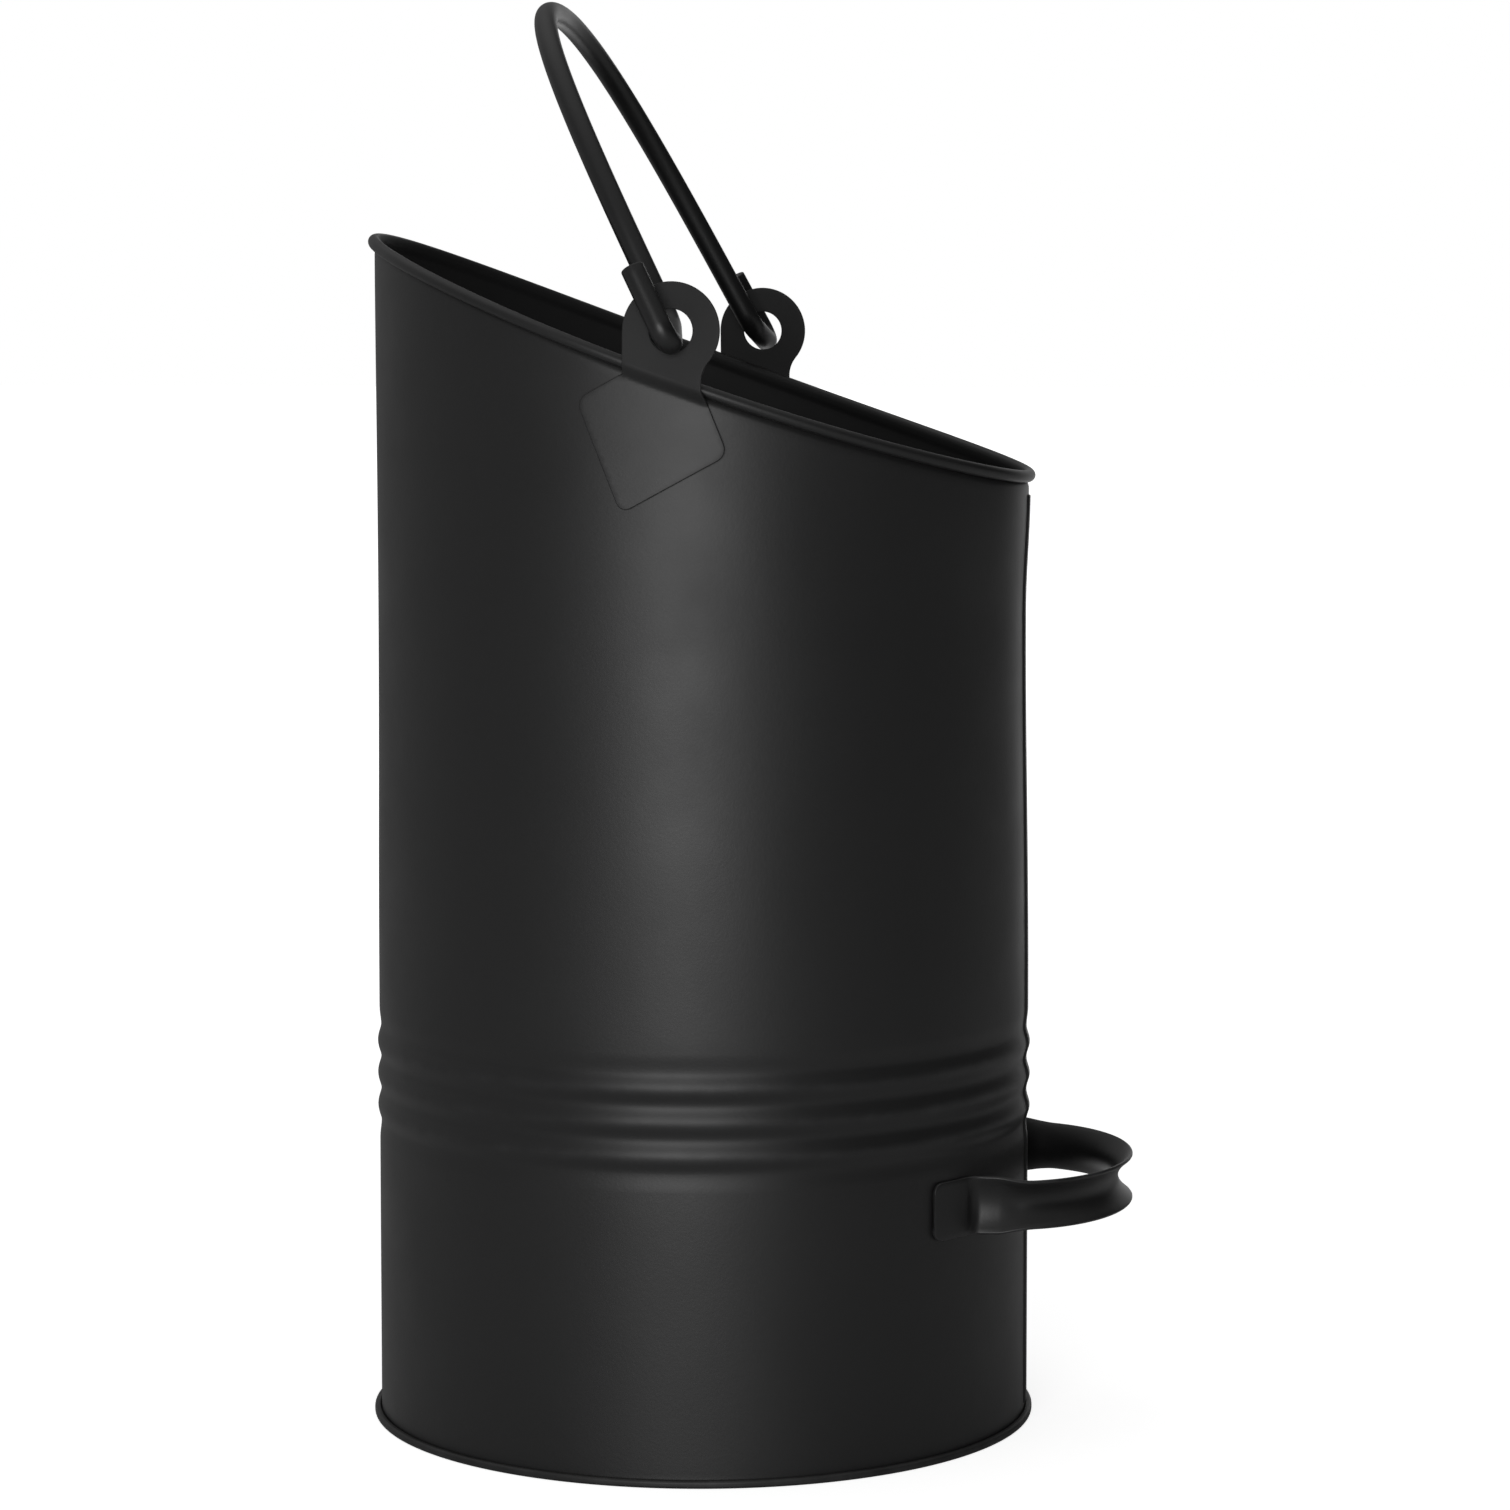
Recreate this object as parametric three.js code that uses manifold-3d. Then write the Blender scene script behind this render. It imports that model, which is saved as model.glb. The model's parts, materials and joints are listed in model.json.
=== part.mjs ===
// Coal scuttle: a round steel hod with a slanted, wired rim, three swaged ribs, a paned base,
// a swinging bail hooked through two ears that lie on the wall, and a fixed strap handle low
// on the back.
// Millimetres. +Z is up, +X points to the low side of the mouth, where the grab handle is.
// The origin is the centre of the underside of the base, on the floor.

import * as THREE from 'three';
import { mergeVertices } from 'three/addons/utils/BufferGeometryUtils.js';
import Module from 'manifold-3d';

const wasm = await Module();
wasm.setup();

const DEG = Math.PI / 180;

// ---------------------------------------------------------------- driving dimensions

const GAP = 0.3; // clearance kept between touching pieces
const SHEET = 0.8; // thickness of the body and base sheet
const WALL_RADIUS = 127; // outer face of the plain wall

const RIM_TALL = 462; // top of the rim on the pouring side, -X
const RIM_LOW = 370.5; // top of the rim on the handle side, +X
const RIM_SIDE = 411.1; // top of the rim beside the ears

const WIRE_RADIUS = 1.25; // rod rolled into the rim
const WIRE_PLAY = 0.35; // room round that rod inside the curled sheet
const BEAD_OFFSET = 0.1; // bead centre outside the outer face of the wall
const BEAD_CURL_START = 200; // degrees at which the wall passes into the curl
const BEAD_CURL_END = -98; // and at which the curled sheet ends

const RIB_COUNT = 3;
const RIB_PITCH = 12.6;
const RIB_BOTTOM = 116; // lowest groove of the ribs
const RIB_CREST = 0.7; // crests stand out of the wall
const RIB_GROOVE = 0.6; // grooves sink into the wall
const RIB_LEAD = 4; // run-out above and below the ribs

const FOOT_FLANGE = 1.6; // flange turned out at the foot of the wall
const FOOT_BEND = 0.8; // inside radius of that bend
const FOOT_HEM = 2.4; // how far the folded base edge reaches past the wall's outer face
const HEM_ROUND = 1.1; // radius of the folded base edge
const HEM_LIP_OUT = 0.1; // lip of the fold past its clearance from the wall

const SEAM_WIDTH = 6; // folded upright seam of the wall
const SEAM_PROUD = 0.8;
const SEAM_EDGE = 0.35; // width of the seam's sloping edge
const SEAM_FOOT = 5.5; // seam starts this high
const SEAM_BELOW_BEAD = 7; // and ends this far under the bead's centre

const EAR_SHEET = 1.2;
const EAR_PLATE_WIDTH = 59.2; // diamond plate, corner to corner along the rim
const EAR_PLATE_HEIGHT = 66.7; // and across it
const EAR_PLATE_X = -0.7; // centre of the diamond
const EAR_PLATE_DROP = 21.9; // its centre below the top of the rim beside it
const EAR_PLATE_CORNER = 5; // start of each rounded corner from its point
const EAR_NECK_X = 18; // handle-side edge of the neck
const EAR_NECK_FILLET = 12;
const EAR_STEP_BELOW = 5.4; // the ear steps out round the bead from this far below its centre
const EAR_STEP_ABOVE = 0.6; // to this far above it
const EAR_STEP_BEND = 0.25; // share of the step that each of its two bends takes
const EAR_STEP_ROOM = 0.8; // room between the bead and the standing sheet, past the clearance
const EAR_BLANK_MARGIN = 8; // the sheet that the ear is cut from is this much larger
const EYE_X = 6.9; // centre of the eye
const EYE_RISE = 12.9; // its centre above the top of the rim beside it
const EYE_RADIUS = 17.8;
const EYE_HOLE = 7.9;

const BAIL_ROD = 4.35; // radius
const BAIL_LEAN = 27.2; // degrees from upright, towards the pouring side, as photographed
const BAIL_RISE = 141; // pivot to the top of the rod's centre line
const BAIL_TOP_PULL = 78; // handle of the arch's curve at its top
const BAIL_LIMB_IN = 18; // the limb meets its hook this far inside the ear's middle plane
const BAIL_LIMB_S = 11.5; // and this far above the pivot
const BAIL_KNEE_IN = 15.2; // control point that sets the limb's slope, inside that end
const BAIL_KNEE_S = 79; // and above the pivot
const BAIL_EYE_SLOPE = 20; // degrees by which the rod falls outwards through the eye
const BAIL_TAIL_OUT = 12.8; // the tail's line crosses the pivot line this far outside the ear
const BAIL_TAIL_BEND = 5.8;
const BAIL_TAIL_LENGTH = 28.5; // end of the tail above the pivot

const GRAB_SHEET = 1.4;
const GRAB_Z = 95.3; // centre height of the strap
const GRAB_FOOT_WIDTH = 21.2; // of the flattened feet
const GRAB_START_WIDTH = 20; // of the hollowed strap where its loop starts
const GRAB_WIDTH = 17.4; // and further out
const GRAB_TAPER = 0.3; // share of the reach over which it narrows
const GRAB_HOLLOW = 5.8; // depth of the strap's hollow
const GRAB_FOOT_LENGTH = 18.3; // round the wall, from the bend to the foot's end
const GRAB_HALF_SPAN = 64.5; // loop's outer half width
const GRAB_LOOP_SINK = 6; // the loop's curve starts this far inside the wall's face
const GRAB_STAND_OFF = 42; // and reaches this far outside it
const GRAB_BEND = 6; // bend between foot and loop
const GRAB_BEND_HOLLOW = 0.5; // share of the hollow at the end of that bend

const PLAIN_COLUMNS = 46; // facets round the wall outside the seam
const ROD_SIDES = 10;
const FOOT_STEPS = 3; // facets of the small bends at the foot
const CURL_STEPS = 10; // facets of the curled rim
const WIRE_STEPS = 8; // facets round the rod in it
const EAR_COLUMNS = 14; // facets of the ear's sheet round the wall
const EAR_STEP_ROWS = 6; // and up its step
const EAR_CURVE_STEPS = 10; // facets of half a circle of its outline
const BAIL_STEPS = 112; // rings along the bail's rod
const BAIL_DIVISIONS = 800; // points on which its length is measured
const GRAB_FOOT_STEPS = 4;
const GRAB_BEND_STEPS = 4;
const GRAB_LOOP_STEPS = 11;
const GRAB_ACROSS = 8; // facets across the strap

// ---------------------------------------------------------------- worked-out dimensions

const WALL_INNER = WALL_RADIUS - SHEET;
const WALL_MID = WALL_RADIUS - SHEET / 2;
const BEAD_INNER = WIRE_RADIUS + WIRE_PLAY;
const BEAD_MID = BEAD_INNER + SHEET / 2;
const BEAD_OUTER = BEAD_INNER + SHEET;
const BEAD_R = WALL_RADIUS + BEAD_OFFSET;
const BEAD_Z = RIM_SIDE - BEAD_OUTER; // bead centre beside the ears
const RIM_FALL = (RIM_TALL - RIM_LOW) / 2;
const RIM_HOLLOW = (RIM_TALL + RIM_LOW) / 2 - RIM_SIDE;
const RIM_TILT = Math.atan(RIM_FALL / WALL_RADIUS);
const RIB_TOP = RIB_BOTTOM + RIB_COUNT * RIB_PITCH;
const FOOT_Z = SHEET + GAP + SHEET / 2; // middle of the foot flange
const HEM_TOP = 3 * SHEET + 2 * GAP;
const HEM_RADIUS = WALL_RADIUS + FOOT_HEM + GAP;
const HEM_LIP = WALL_RADIUS + GAP + HEM_LIP_OUT;
const SEAM_HALF_ANGLE = SEAM_WIDTH / 2 / WALL_RADIUS;
const SEAM_EDGE_ANGLE = SEAM_HALF_ANGLE + SEAM_EDGE / WALL_RADIUS;
const EAR_PLATE_Z = RIM_SIDE - EAR_PLATE_DROP;
const EAR_PLANE = BEAD_R + BEAD_OUTER + GAP + EAR_STEP_ROOM + EAR_SHEET / 2; // middle of the eye
const EYE_Z = RIM_SIDE + EYE_RISE;
const EYE_SLOPE = BAIL_EYE_SLOPE * DEG;
const ROD_IN_EYE = BAIL_ROD / Math.cos(EYE_SLOPE) + (EAR_SHEET / 2) * Math.tan(EYE_SLOPE);
const PIVOT_Z = EYE_Z - EYE_HOLE + ROD_IN_EYE + GAP; // rod rests low in the eye
const BAIL_LIMB_W = EAR_PLANE - BAIL_LIMB_IN;
const BAIL_TAIL_W = EAR_PLANE + BAIL_TAIL_OUT;
const GRAB_LOOP_X = WALL_RADIUS - GRAB_LOOP_SINK;
const GRAB_REACH = GRAB_LOOP_SINK + GRAB_STAND_OFF;

// ---------------------------------------------------------------- materials

function steel(name, value, roughness, metalness) {
  const color = new THREE.Color().setRGB(value, value, value);
  return new THREE.MeshStandardMaterial({ name, color, roughness, metalness });
}

const satinBlack = () => steel('satin_black_coat', 0.02, 0.5, 0);
const bareRod = () => steel('bare_steel_rod', 0.3, 0.4, 1);

// ---------------------------------------------------------------- helpers

// Height of the slanted rim above its height beside the ears; along is X over the radius.
function rimShift(along) {
  return -RIM_FALL * along + RIM_HOLLOW * along * along;
}

// Turns every face outwards, whichever way the outline ran.
function facingOut(geometry) {
  const position = geometry.getAttribute('position');
  const index = geometry.getIndex();
  const a = new THREE.Vector3();
  const b = new THREE.Vector3();
  const c = new THREE.Vector3();
  let volume = 0;
  for (let i = 0; i < index.count; i += 3) {
    a.fromBufferAttribute(position, index.getX(i));
    b.fromBufferAttribute(position, index.getX(i + 1));
    c.fromBufferAttribute(position, index.getX(i + 2));
    volume += a.dot(b.cross(c));
  }
  if (volume < 0) {
    for (let i = 0; i < index.count; i += 3) {
      const second = index.getX(i + 1);
      index.setX(i + 1, index.getX(i + 2));
      index.setX(i + 2, second);
    }
  }
  return geometry;
}

// Joins the vertices that lie together, so the surface closes.
function closed(geometry) {
  geometry.deleteAttribute('normal');
  geometry.deleteAttribute('uv');
  return facingOut(mergeVertices(geometry, 1e-4));
}

function toSolid(geometry) {
  const merged = closed(geometry);
  return new wasm.Manifold(new wasm.Mesh({
    numProp: 3,
    vertProperties: new Float32Array(merged.getAttribute('position').array),
    triVerts: new Uint32Array(merged.getIndex().array),
  }));
}

function fromSolid(solid) {
  const mesh = solid.getMesh();
  const geometry = new THREE.BufferGeometry();
  geometry.setAttribute('position', new THREE.BufferAttribute(mesh.vertProperties, 3));
  geometry.setIndex(new THREE.BufferAttribute(mesh.triVerts, 1));
  geometry.computeVertexNormals();
  return geometry;
}

function named(name, geometry, material) {
  geometry.computeVertexNormals();
  const mesh = new THREE.Mesh(geometry, material);
  mesh.name = name;
  return mesh;
}

// Columns of the wall: five narrow ones make the folded seam at +X, the rest are even.
const COLUMNS = PLAIN_COLUMNS + 4;

function columnAzimuth(column) {
  const turn = column > COLUMNS / 2 ? column - COLUMNS : column;
  const side = Math.sign(turn);
  const steps = Math.abs(turn);
  if (steps <= 1) return side * steps * SEAM_HALF_ANGLE;
  const spread = (Math.PI - SEAM_EDGE_ANGLE) / (COLUMNS / 2 - 2);
  return side * (SEAM_EDGE_ANGLE + (steps - 2) * spread);
}

function onSeam(column) {
  return column <= 1 || column >= COLUMNS - 1;
}

// A solid of revolution whose points may follow the slanted rim (slant = 1) and may be
// lifted by the folded seam (seam = 1).
function roundSolid(profile) {
  const outline = profile.map((point) => new THREE.Vector2(point.r, point.z));
  const geometry = new THREE.LatheGeometry(outline, COLUMNS);
  const position = geometry.getAttribute('position');
  for (let column = 0; column <= COLUMNS; column += 1) {
    const azimuth = columnAzimuth(column % COLUMNS);
    profile.forEach((point, row) => {
      const lift = point.seam && onSeam(column % COLUMNS) ? SEAM_PROUD : 0;
      const radius = point.r + lift;
      position.setXYZ(
        column * profile.length + row,
        radius * Math.cos(azimuth),
        radius * Math.sin(azimuth),
        point.z + (point.slant ? rimShift(Math.cos(azimuth)) : 0),
      );
    });
  }
  return closed(geometry);
}

// The two faces of a sheet that follows a centre line, as one closed profile.
// The outer face is on the right of the line's direction.
function sheetProfile(line, thickness) {
  const faces = [[], []];
  line.forEach((point, i) => {
    const before = line[Math.max(i - 1, 0)];
    const after = line[Math.min(i + 1, line.length - 1)];
    const dr = after.r - before.r;
    const dz = after.z - before.z;
    const length = Math.hypot(dr, dz);
    [1, -1].forEach((side, face) => {
      faces[face].push({
        ...point,
        r: point.r + (side * thickness * dz) / length / 2,
        z: point.z - (side * thickness * dr) / length / 2,
        seam: side === 1 ? point.seam : 0,
      });
    });
  });
  const loop = [...faces[0], ...faces[1].reverse()];
  return [...loop, loop[0]];
}

// Points round an arc of a profile, both ends included.
function arcPoints(r, z, radius, from, to, steps, extra = {}) {
  return Array.from({ length: steps + 1 }, (_, i) => {
    const angle = (from + ((to - from) * i) / steps) * DEG;
    return { r: r + radius * Math.cos(angle), z: z + radius * Math.sin(angle), ...extra };
  });
}

// ---------------------------------------------------------------- body

// Rolled wall: foot flange, ribs, plain wall and the rim curled over its rod.
function bodyShell() {
  const flangeBend = FOOT_BEND + SHEET / 2;
  const line = [{ r: WALL_MID + flangeBend + FOOT_FLANGE / 2, z: FOOT_Z }];
  const bendR = WALL_MID + flangeBend;
  line.push(...arcPoints(bendR, FOOT_Z + flangeBend, flangeBend, -90, -180, FOOT_STEPS));
  line.push({ r: WALL_MID, z: SEAM_FOOT });
  line.push({ r: WALL_MID, z: SEAM_FOOT + SEAM_EDGE, seam: 1 });
  line.push({ r: WALL_MID, z: RIB_BOTTOM - RIB_LEAD, seam: 1 });
  const middle = (RIB_CREST - RIB_GROOVE) / 2;
  const swing = (RIB_CREST + RIB_GROOVE) / 2;
  for (let quarter = 0; quarter <= RIB_COUNT * 4; quarter += 1) {
    const wave = middle - swing * Math.cos((quarter * Math.PI) / 2);
    line.push({ r: WALL_MID + wave, z: RIB_BOTTOM + (quarter * RIB_PITCH) / 4, seam: 1 });
  }
  line.push({ r: WALL_MID, z: RIB_TOP + RIB_LEAD, seam: 1 });
  line.push({ r: WALL_MID, z: BEAD_Z - SEAM_BELOW_BEAD - SEAM_EDGE, slant: 1, seam: 1 });
  line.push({ r: WALL_MID, z: BEAD_Z - SEAM_BELOW_BEAD, slant: 1 });
  line.push({ r: WALL_MID, z: BEAD_Z - 2 * BEAD_OUTER, slant: 1 });
  const curl = [BEAD_CURL_START, BEAD_CURL_END, CURL_STEPS];
  line.push(...arcPoints(BEAD_R, BEAD_Z, BEAD_MID, ...curl, { slant: 1 }));
  return named('body_shell', roundSolid(sheetProfile(line, SHEET)), satinBlack());
}

// Round rod inside the curled rim.
function rimWire() {
  const profile = arcPoints(BEAD_R, BEAD_Z, WIRE_RADIUS, 0, 360, WIRE_STEPS, { slant: 1 });
  return named('rim_wire', roundSolid(profile), bareRod());
}

// Flat disc whose edge is folded up and over the foot flange.
function basePan() {
  const inner = HEM_RADIUS - SHEET;
  const foldR = HEM_RADIUS - HEM_ROUND;
  const profile = [
    { r: 0, z: 0 },
    { r: WALL_INNER, z: 0 },
    ...arcPoints(foldR, HEM_ROUND, HEM_ROUND, -90, 0, FOOT_STEPS),
    ...arcPoints(foldR, HEM_TOP - HEM_ROUND, HEM_ROUND, 0, 90, FOOT_STEPS),
    { r: HEM_LIP + GAP, z: HEM_TOP },
    { r: HEM_LIP, z: HEM_TOP - SHEET / 2 },
    { r: HEM_LIP + GAP, z: HEM_TOP - SHEET },
    { r: inner - GAP, z: HEM_TOP - SHEET },
    { r: inner, z: HEM_TOP - SHEET - GAP },
    { r: inner, z: SHEET + GAP },
    { r: inner - GAP, z: SHEET },
    { r: 0, z: SHEET },
  ];
  return named('base_pan', roundSolid(profile), satinBlack());
}

// ---------------------------------------------------------------- ears

// Diamond plate, neck and round eye, drawn in X and Z.
function earOutline() {
  const along = new THREE.Vector2(Math.cos(RIM_TILT), -Math.sin(RIM_TILT));
  const across = new THREE.Vector2(Math.sin(RIM_TILT), Math.cos(RIM_TILT));
  const centre = new THREE.Vector2(EAR_PLATE_X, EAR_PLATE_Z);
  const corner = (direction, reach) => centre.clone().addScaledVector(direction, reach);
  const left = corner(along, -EAR_PLATE_WIDTH / 2);
  const right = corner(along, EAR_PLATE_WIDTH / 2);
  const bottom = corner(across, -EAR_PLATE_HEIGHT / 2);
  const top = corner(across, EAR_PLATE_HEIGHT / 2);
  const near = (from, to) => {
    const way = to.clone().sub(from).normalize();
    return from.clone().addScaledVector(way, EAR_PLATE_CORNER);
  };
  const edgeAt = (from, to, x) => from.clone().lerp(to, (x - from.x) / (to.x - from.x));

  // Concave fillet between the neck's edge and the round eye.
  const filletX = EAR_NECK_X + EAR_NECK_FILLET;
  const filletDrop = Math.sqrt((EYE_RADIUS + EAR_NECK_FILLET) ** 2 - (filletX - EYE_X) ** 2);
  const meet = Math.atan2(-filletDrop, filletX - EYE_X);
  const neckRight = edgeAt(right, top, EAR_NECK_X);
  const neckLeft = edgeAt(left, top, EYE_X - EYE_RADIUS);

  const shape = new THREE.Shape();
  const start = near(bottom, right);
  shape.moveTo(start.x, start.y);
  const beforeRight = near(right, bottom);
  const afterRight = near(right, top);
  shape.lineTo(beforeRight.x, beforeRight.y);
  shape.quadraticCurveTo(right.x, right.y, afterRight.x, afterRight.y);
  shape.lineTo(neckRight.x, neckRight.y);
  shape.absarc(filletX, EYE_Z - filletDrop, EAR_NECK_FILLET, Math.PI, Math.PI + meet, true);
  shape.absarc(EYE_X, EYE_Z, EYE_RADIUS, meet, Math.PI, false);
  shape.lineTo(neckLeft.x, neckLeft.y);
  const beforeLeft = near(left, top);
  const afterLeft = near(left, bottom);
  shape.lineTo(beforeLeft.x, beforeLeft.y);
  shape.quadraticCurveTo(left.x, left.y, afterLeft.x, afterLeft.y);
  const beforeBottom = near(bottom, left);
  shape.lineTo(beforeBottom.x, beforeBottom.y);
  shape.quadraticCurveTo(bottom.x, bottom.y, start.x, start.y);

  const hole = new THREE.Path();
  hole.absarc(EYE_X, EYE_Z, EYE_HOLE, 0, 2 * Math.PI, true);
  shape.holes.push(hole);
  return shape;
}

// A step from 0 to 1 with a straight middle and a bend at each end.
function bentStep(t) {
  const slope = 1 / (1 - EAR_STEP_BEND);
  if (t <= 0) return 0;
  if (t >= 1) return 1;
  if (t < EAR_STEP_BEND) return (slope * t * t) / (2 * EAR_STEP_BEND);
  if (t > 1 - EAR_STEP_BEND) return 1 - (slope * (1 - t) ** 2) / (2 * EAR_STEP_BEND);
  return slope * (t - EAR_STEP_BEND / 2);
}

// Distance of the ear's middle surface from the plane Y = 0. It lies on the wall, steps out
// round the rim bead and stands flat above it.
function earDepth(x, z) {
  const height = z - BEAD_Z - rimShift(x / WALL_RADIUS);
  const step = bentStep((height + EAR_STEP_BELOW) / (EAR_STEP_BELOW + EAR_STEP_ABOVE));
  const radius = THREE.MathUtils.lerp(WALL_RADIUS + GAP + EAR_SHEET / 2, EAR_PLANE, step);
  return THREE.MathUtils.lerp(Math.sqrt(radius * radius - x * x), radius, step);
}

// Heights of the sheet's rows from the bead's centre, bottom to top.
function earRows() {
  const bottom = -(EAR_PLATE_DROP + EAR_PLATE_HEIGHT / 2 + EAR_BLANK_MARGIN);
  const top = EYE_RISE + EYE_RADIUS + BEAD_OUTER + EAR_BLANK_MARGIN;
  const rows = [bottom, (bottom - EAR_STEP_BELOW) / 2];
  for (let i = 0; i <= EAR_STEP_ROWS; i += 1) {
    rows.push(THREE.MathUtils.lerp(-EAR_STEP_BELOW, EAR_STEP_ABOVE, i / EAR_STEP_ROWS));
  }
  rows.push(top);
  return rows;
}

// A sheet rolled and stepped to the wall on one side of the body, then cut to outline.
function ear(name, side) {
  const rows = earRows();
  const plateReach = Math.abs(EAR_PLATE_X) + EAR_PLATE_WIDTH / 2;
  const halfWidth = Math.max(plateReach, Math.abs(EYE_X) + EYE_RADIUS) + EAR_BLANK_MARGIN;
  const blank = new THREE.BoxGeometry(2, 2, 2, EAR_COLUMNS, rows.length - 1, 1);
  const position = blank.getAttribute('position');
  const probe = GAP / 10;
  for (let i = 0; i < position.count; i += 1) {
    const x = position.getX(i) * halfWidth;
    const row = rows[Math.round(((position.getY(i) + 1) / 2) * (rows.length - 1))];
    const z = BEAD_Z + rimShift(x / WALL_RADIUS) + row;
    const slopeX = (earDepth(x + probe, z) - earDepth(x - probe, z)) / (2 * probe);
    const slopeZ = (earDepth(x, z + probe) - earDepth(x, z - probe)) / (2 * probe);
    const out = new THREE.Vector3(-slopeX, 1, -slopeZ).normalize();
    out.multiplyScalar((position.getZ(i) * EAR_SHEET) / 2);
    position.setXYZ(i, x + out.x, side * (earDepth(x, z) + out.y), z + out.z);
  }
  const cutterDepth = WALL_RADIUS / 2;
  const cutter = new THREE.ExtrudeGeometry(earOutline(), {
    depth: cutterDepth, bevelEnabled: false, curveSegments: EAR_CURVE_STEPS,
  });
  cutter.rotateX(Math.PI / 2);
  cutter.translate(0, side * WALL_RADIUS + cutterDepth / 2, 0);
  const geometry = fromSolid(toSolid(blank).intersect(toSolid(cutter)));
  return named(name, geometry, satinBlack());
}

// ---------------------------------------------------------------- bail

// Half of the bail's centre line in its own plane: across (w) and up from the pivot (s),
// from the top of the arch to the end of the turned-up tail. The limb and the tail lean in
// alike, and the straight stretch between their bends falls outwards through the eye.
function halfBail() {
  const limbEnd = new THREE.Vector2(BAIL_LIMB_W, BAIL_LIMB_S);
  const knee = new THREE.Vector2(BAIL_LIMB_W - BAIL_KNEE_IN, BAIL_KNEE_S);
  const lean = Math.atan2(limbEnd.x - knee.x, knee.y - limbEnd.y);
  const down = new THREE.Vector2(Math.sin(lean), -Math.cos(lean));
  const outwards = new THREE.Vector2(Math.cos(EYE_SLOPE), -Math.sin(EYE_SLOPE));
  const fall = Math.tan(EYE_SLOPE);
  const arch = new THREE.CubicBezierCurve(
    new THREE.Vector2(0, BAIL_RISE), new THREE.Vector2(BAIL_TOP_PULL, BAIL_RISE), knee, limbEnd,
  );

  // The inner bend is tangent to the limb's end and to the stretch through the eye.
  const innerTurn = Math.PI / 2 - lean - EYE_SLOPE;
  const limbRun = (BAIL_LIMB_S - BAIL_LIMB_IN * fall) / (Math.cos(lean) - Math.sin(lean) * fall);
  const innerBend = limbRun / Math.tan(innerTurn / 2);
  const innerEnd = limbEnd.clone().addScaledVector(down, limbRun);
  innerEnd.addScaledVector(outwards, limbRun);
  const inner = new THREE.EllipseCurve(
    limbEnd.x + innerBend * Math.cos(lean), limbEnd.y + innerBend * Math.sin(lean),
    innerBend, innerBend, Math.PI + lean, Math.PI * 1.5 - EYE_SLOPE, false,
  );

  // The outer bend is tangent to that stretch and to the tail.
  const outerTurn = Math.PI / 2 + lean + EYE_SLOPE;
  const cornerOut = BAIL_TAIL_OUT / (1 - fall * Math.tan(lean));
  const outerStart = new THREE.Vector2(EAR_PLANE + cornerOut, -cornerOut * fall);
  outerStart.addScaledVector(outwards, -BAIL_TAIL_BEND * Math.tan(outerTurn / 2));
  const outer = new THREE.EllipseCurve(
    outerStart.x + BAIL_TAIL_BEND * Math.sin(EYE_SLOPE),
    outerStart.y + BAIL_TAIL_BEND * Math.cos(EYE_SLOPE),
    BAIL_TAIL_BEND, BAIL_TAIL_BEND, -Math.PI / 2 - EYE_SLOPE, lean, false,
  );
  const tailEnd = new THREE.Vector2(
    BAIL_TAIL_W - BAIL_TAIL_LENGTH * Math.tan(lean), BAIL_TAIL_LENGTH,
  );
  const path = new THREE.CurvePath();
  path.add(arch);
  path.add(inner);
  path.add(new THREE.LineCurve(innerEnd, outerStart));
  path.add(outer);
  path.add(new THREE.LineCurve(outer.getPoint(1), tailEnd));
  return path;
}

// The whole centre line, standing at the photographed lean.
class BailLine extends THREE.Curve {
  constructor() {
    super();
    this.half = halfBail();
    this.arcLengthDivisions = BAIL_DIVISIONS;
  }

  getPoint(t, target = new THREE.Vector3()) {
    const side = t < 0.5 ? -1 : 1;
    const flat = this.half.getPointAt(Math.min(Math.abs(2 * t - 1), 1));
    const lean = BAIL_LEAN * DEG;
    return target.set(
      EYE_X - flat.y * Math.sin(lean), side * flat.x, PIVOT_Z + flat.y * Math.cos(lean),
    );
  }
}

function bailHandle() {
  const section = new THREE.Shape();
  section.absarc(0, 0, BAIL_ROD, 0, 2 * Math.PI, false);
  const geometry = new THREE.ExtrudeGeometry(section, {
    steps: BAIL_STEPS, curveSegments: ROD_SIDES / 2, extrudePath: new BailLine(),
  });
  return named('bail_handle', closed(geometry), satinBlack());
}

// ---------------------------------------------------------------- grab handle

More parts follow.
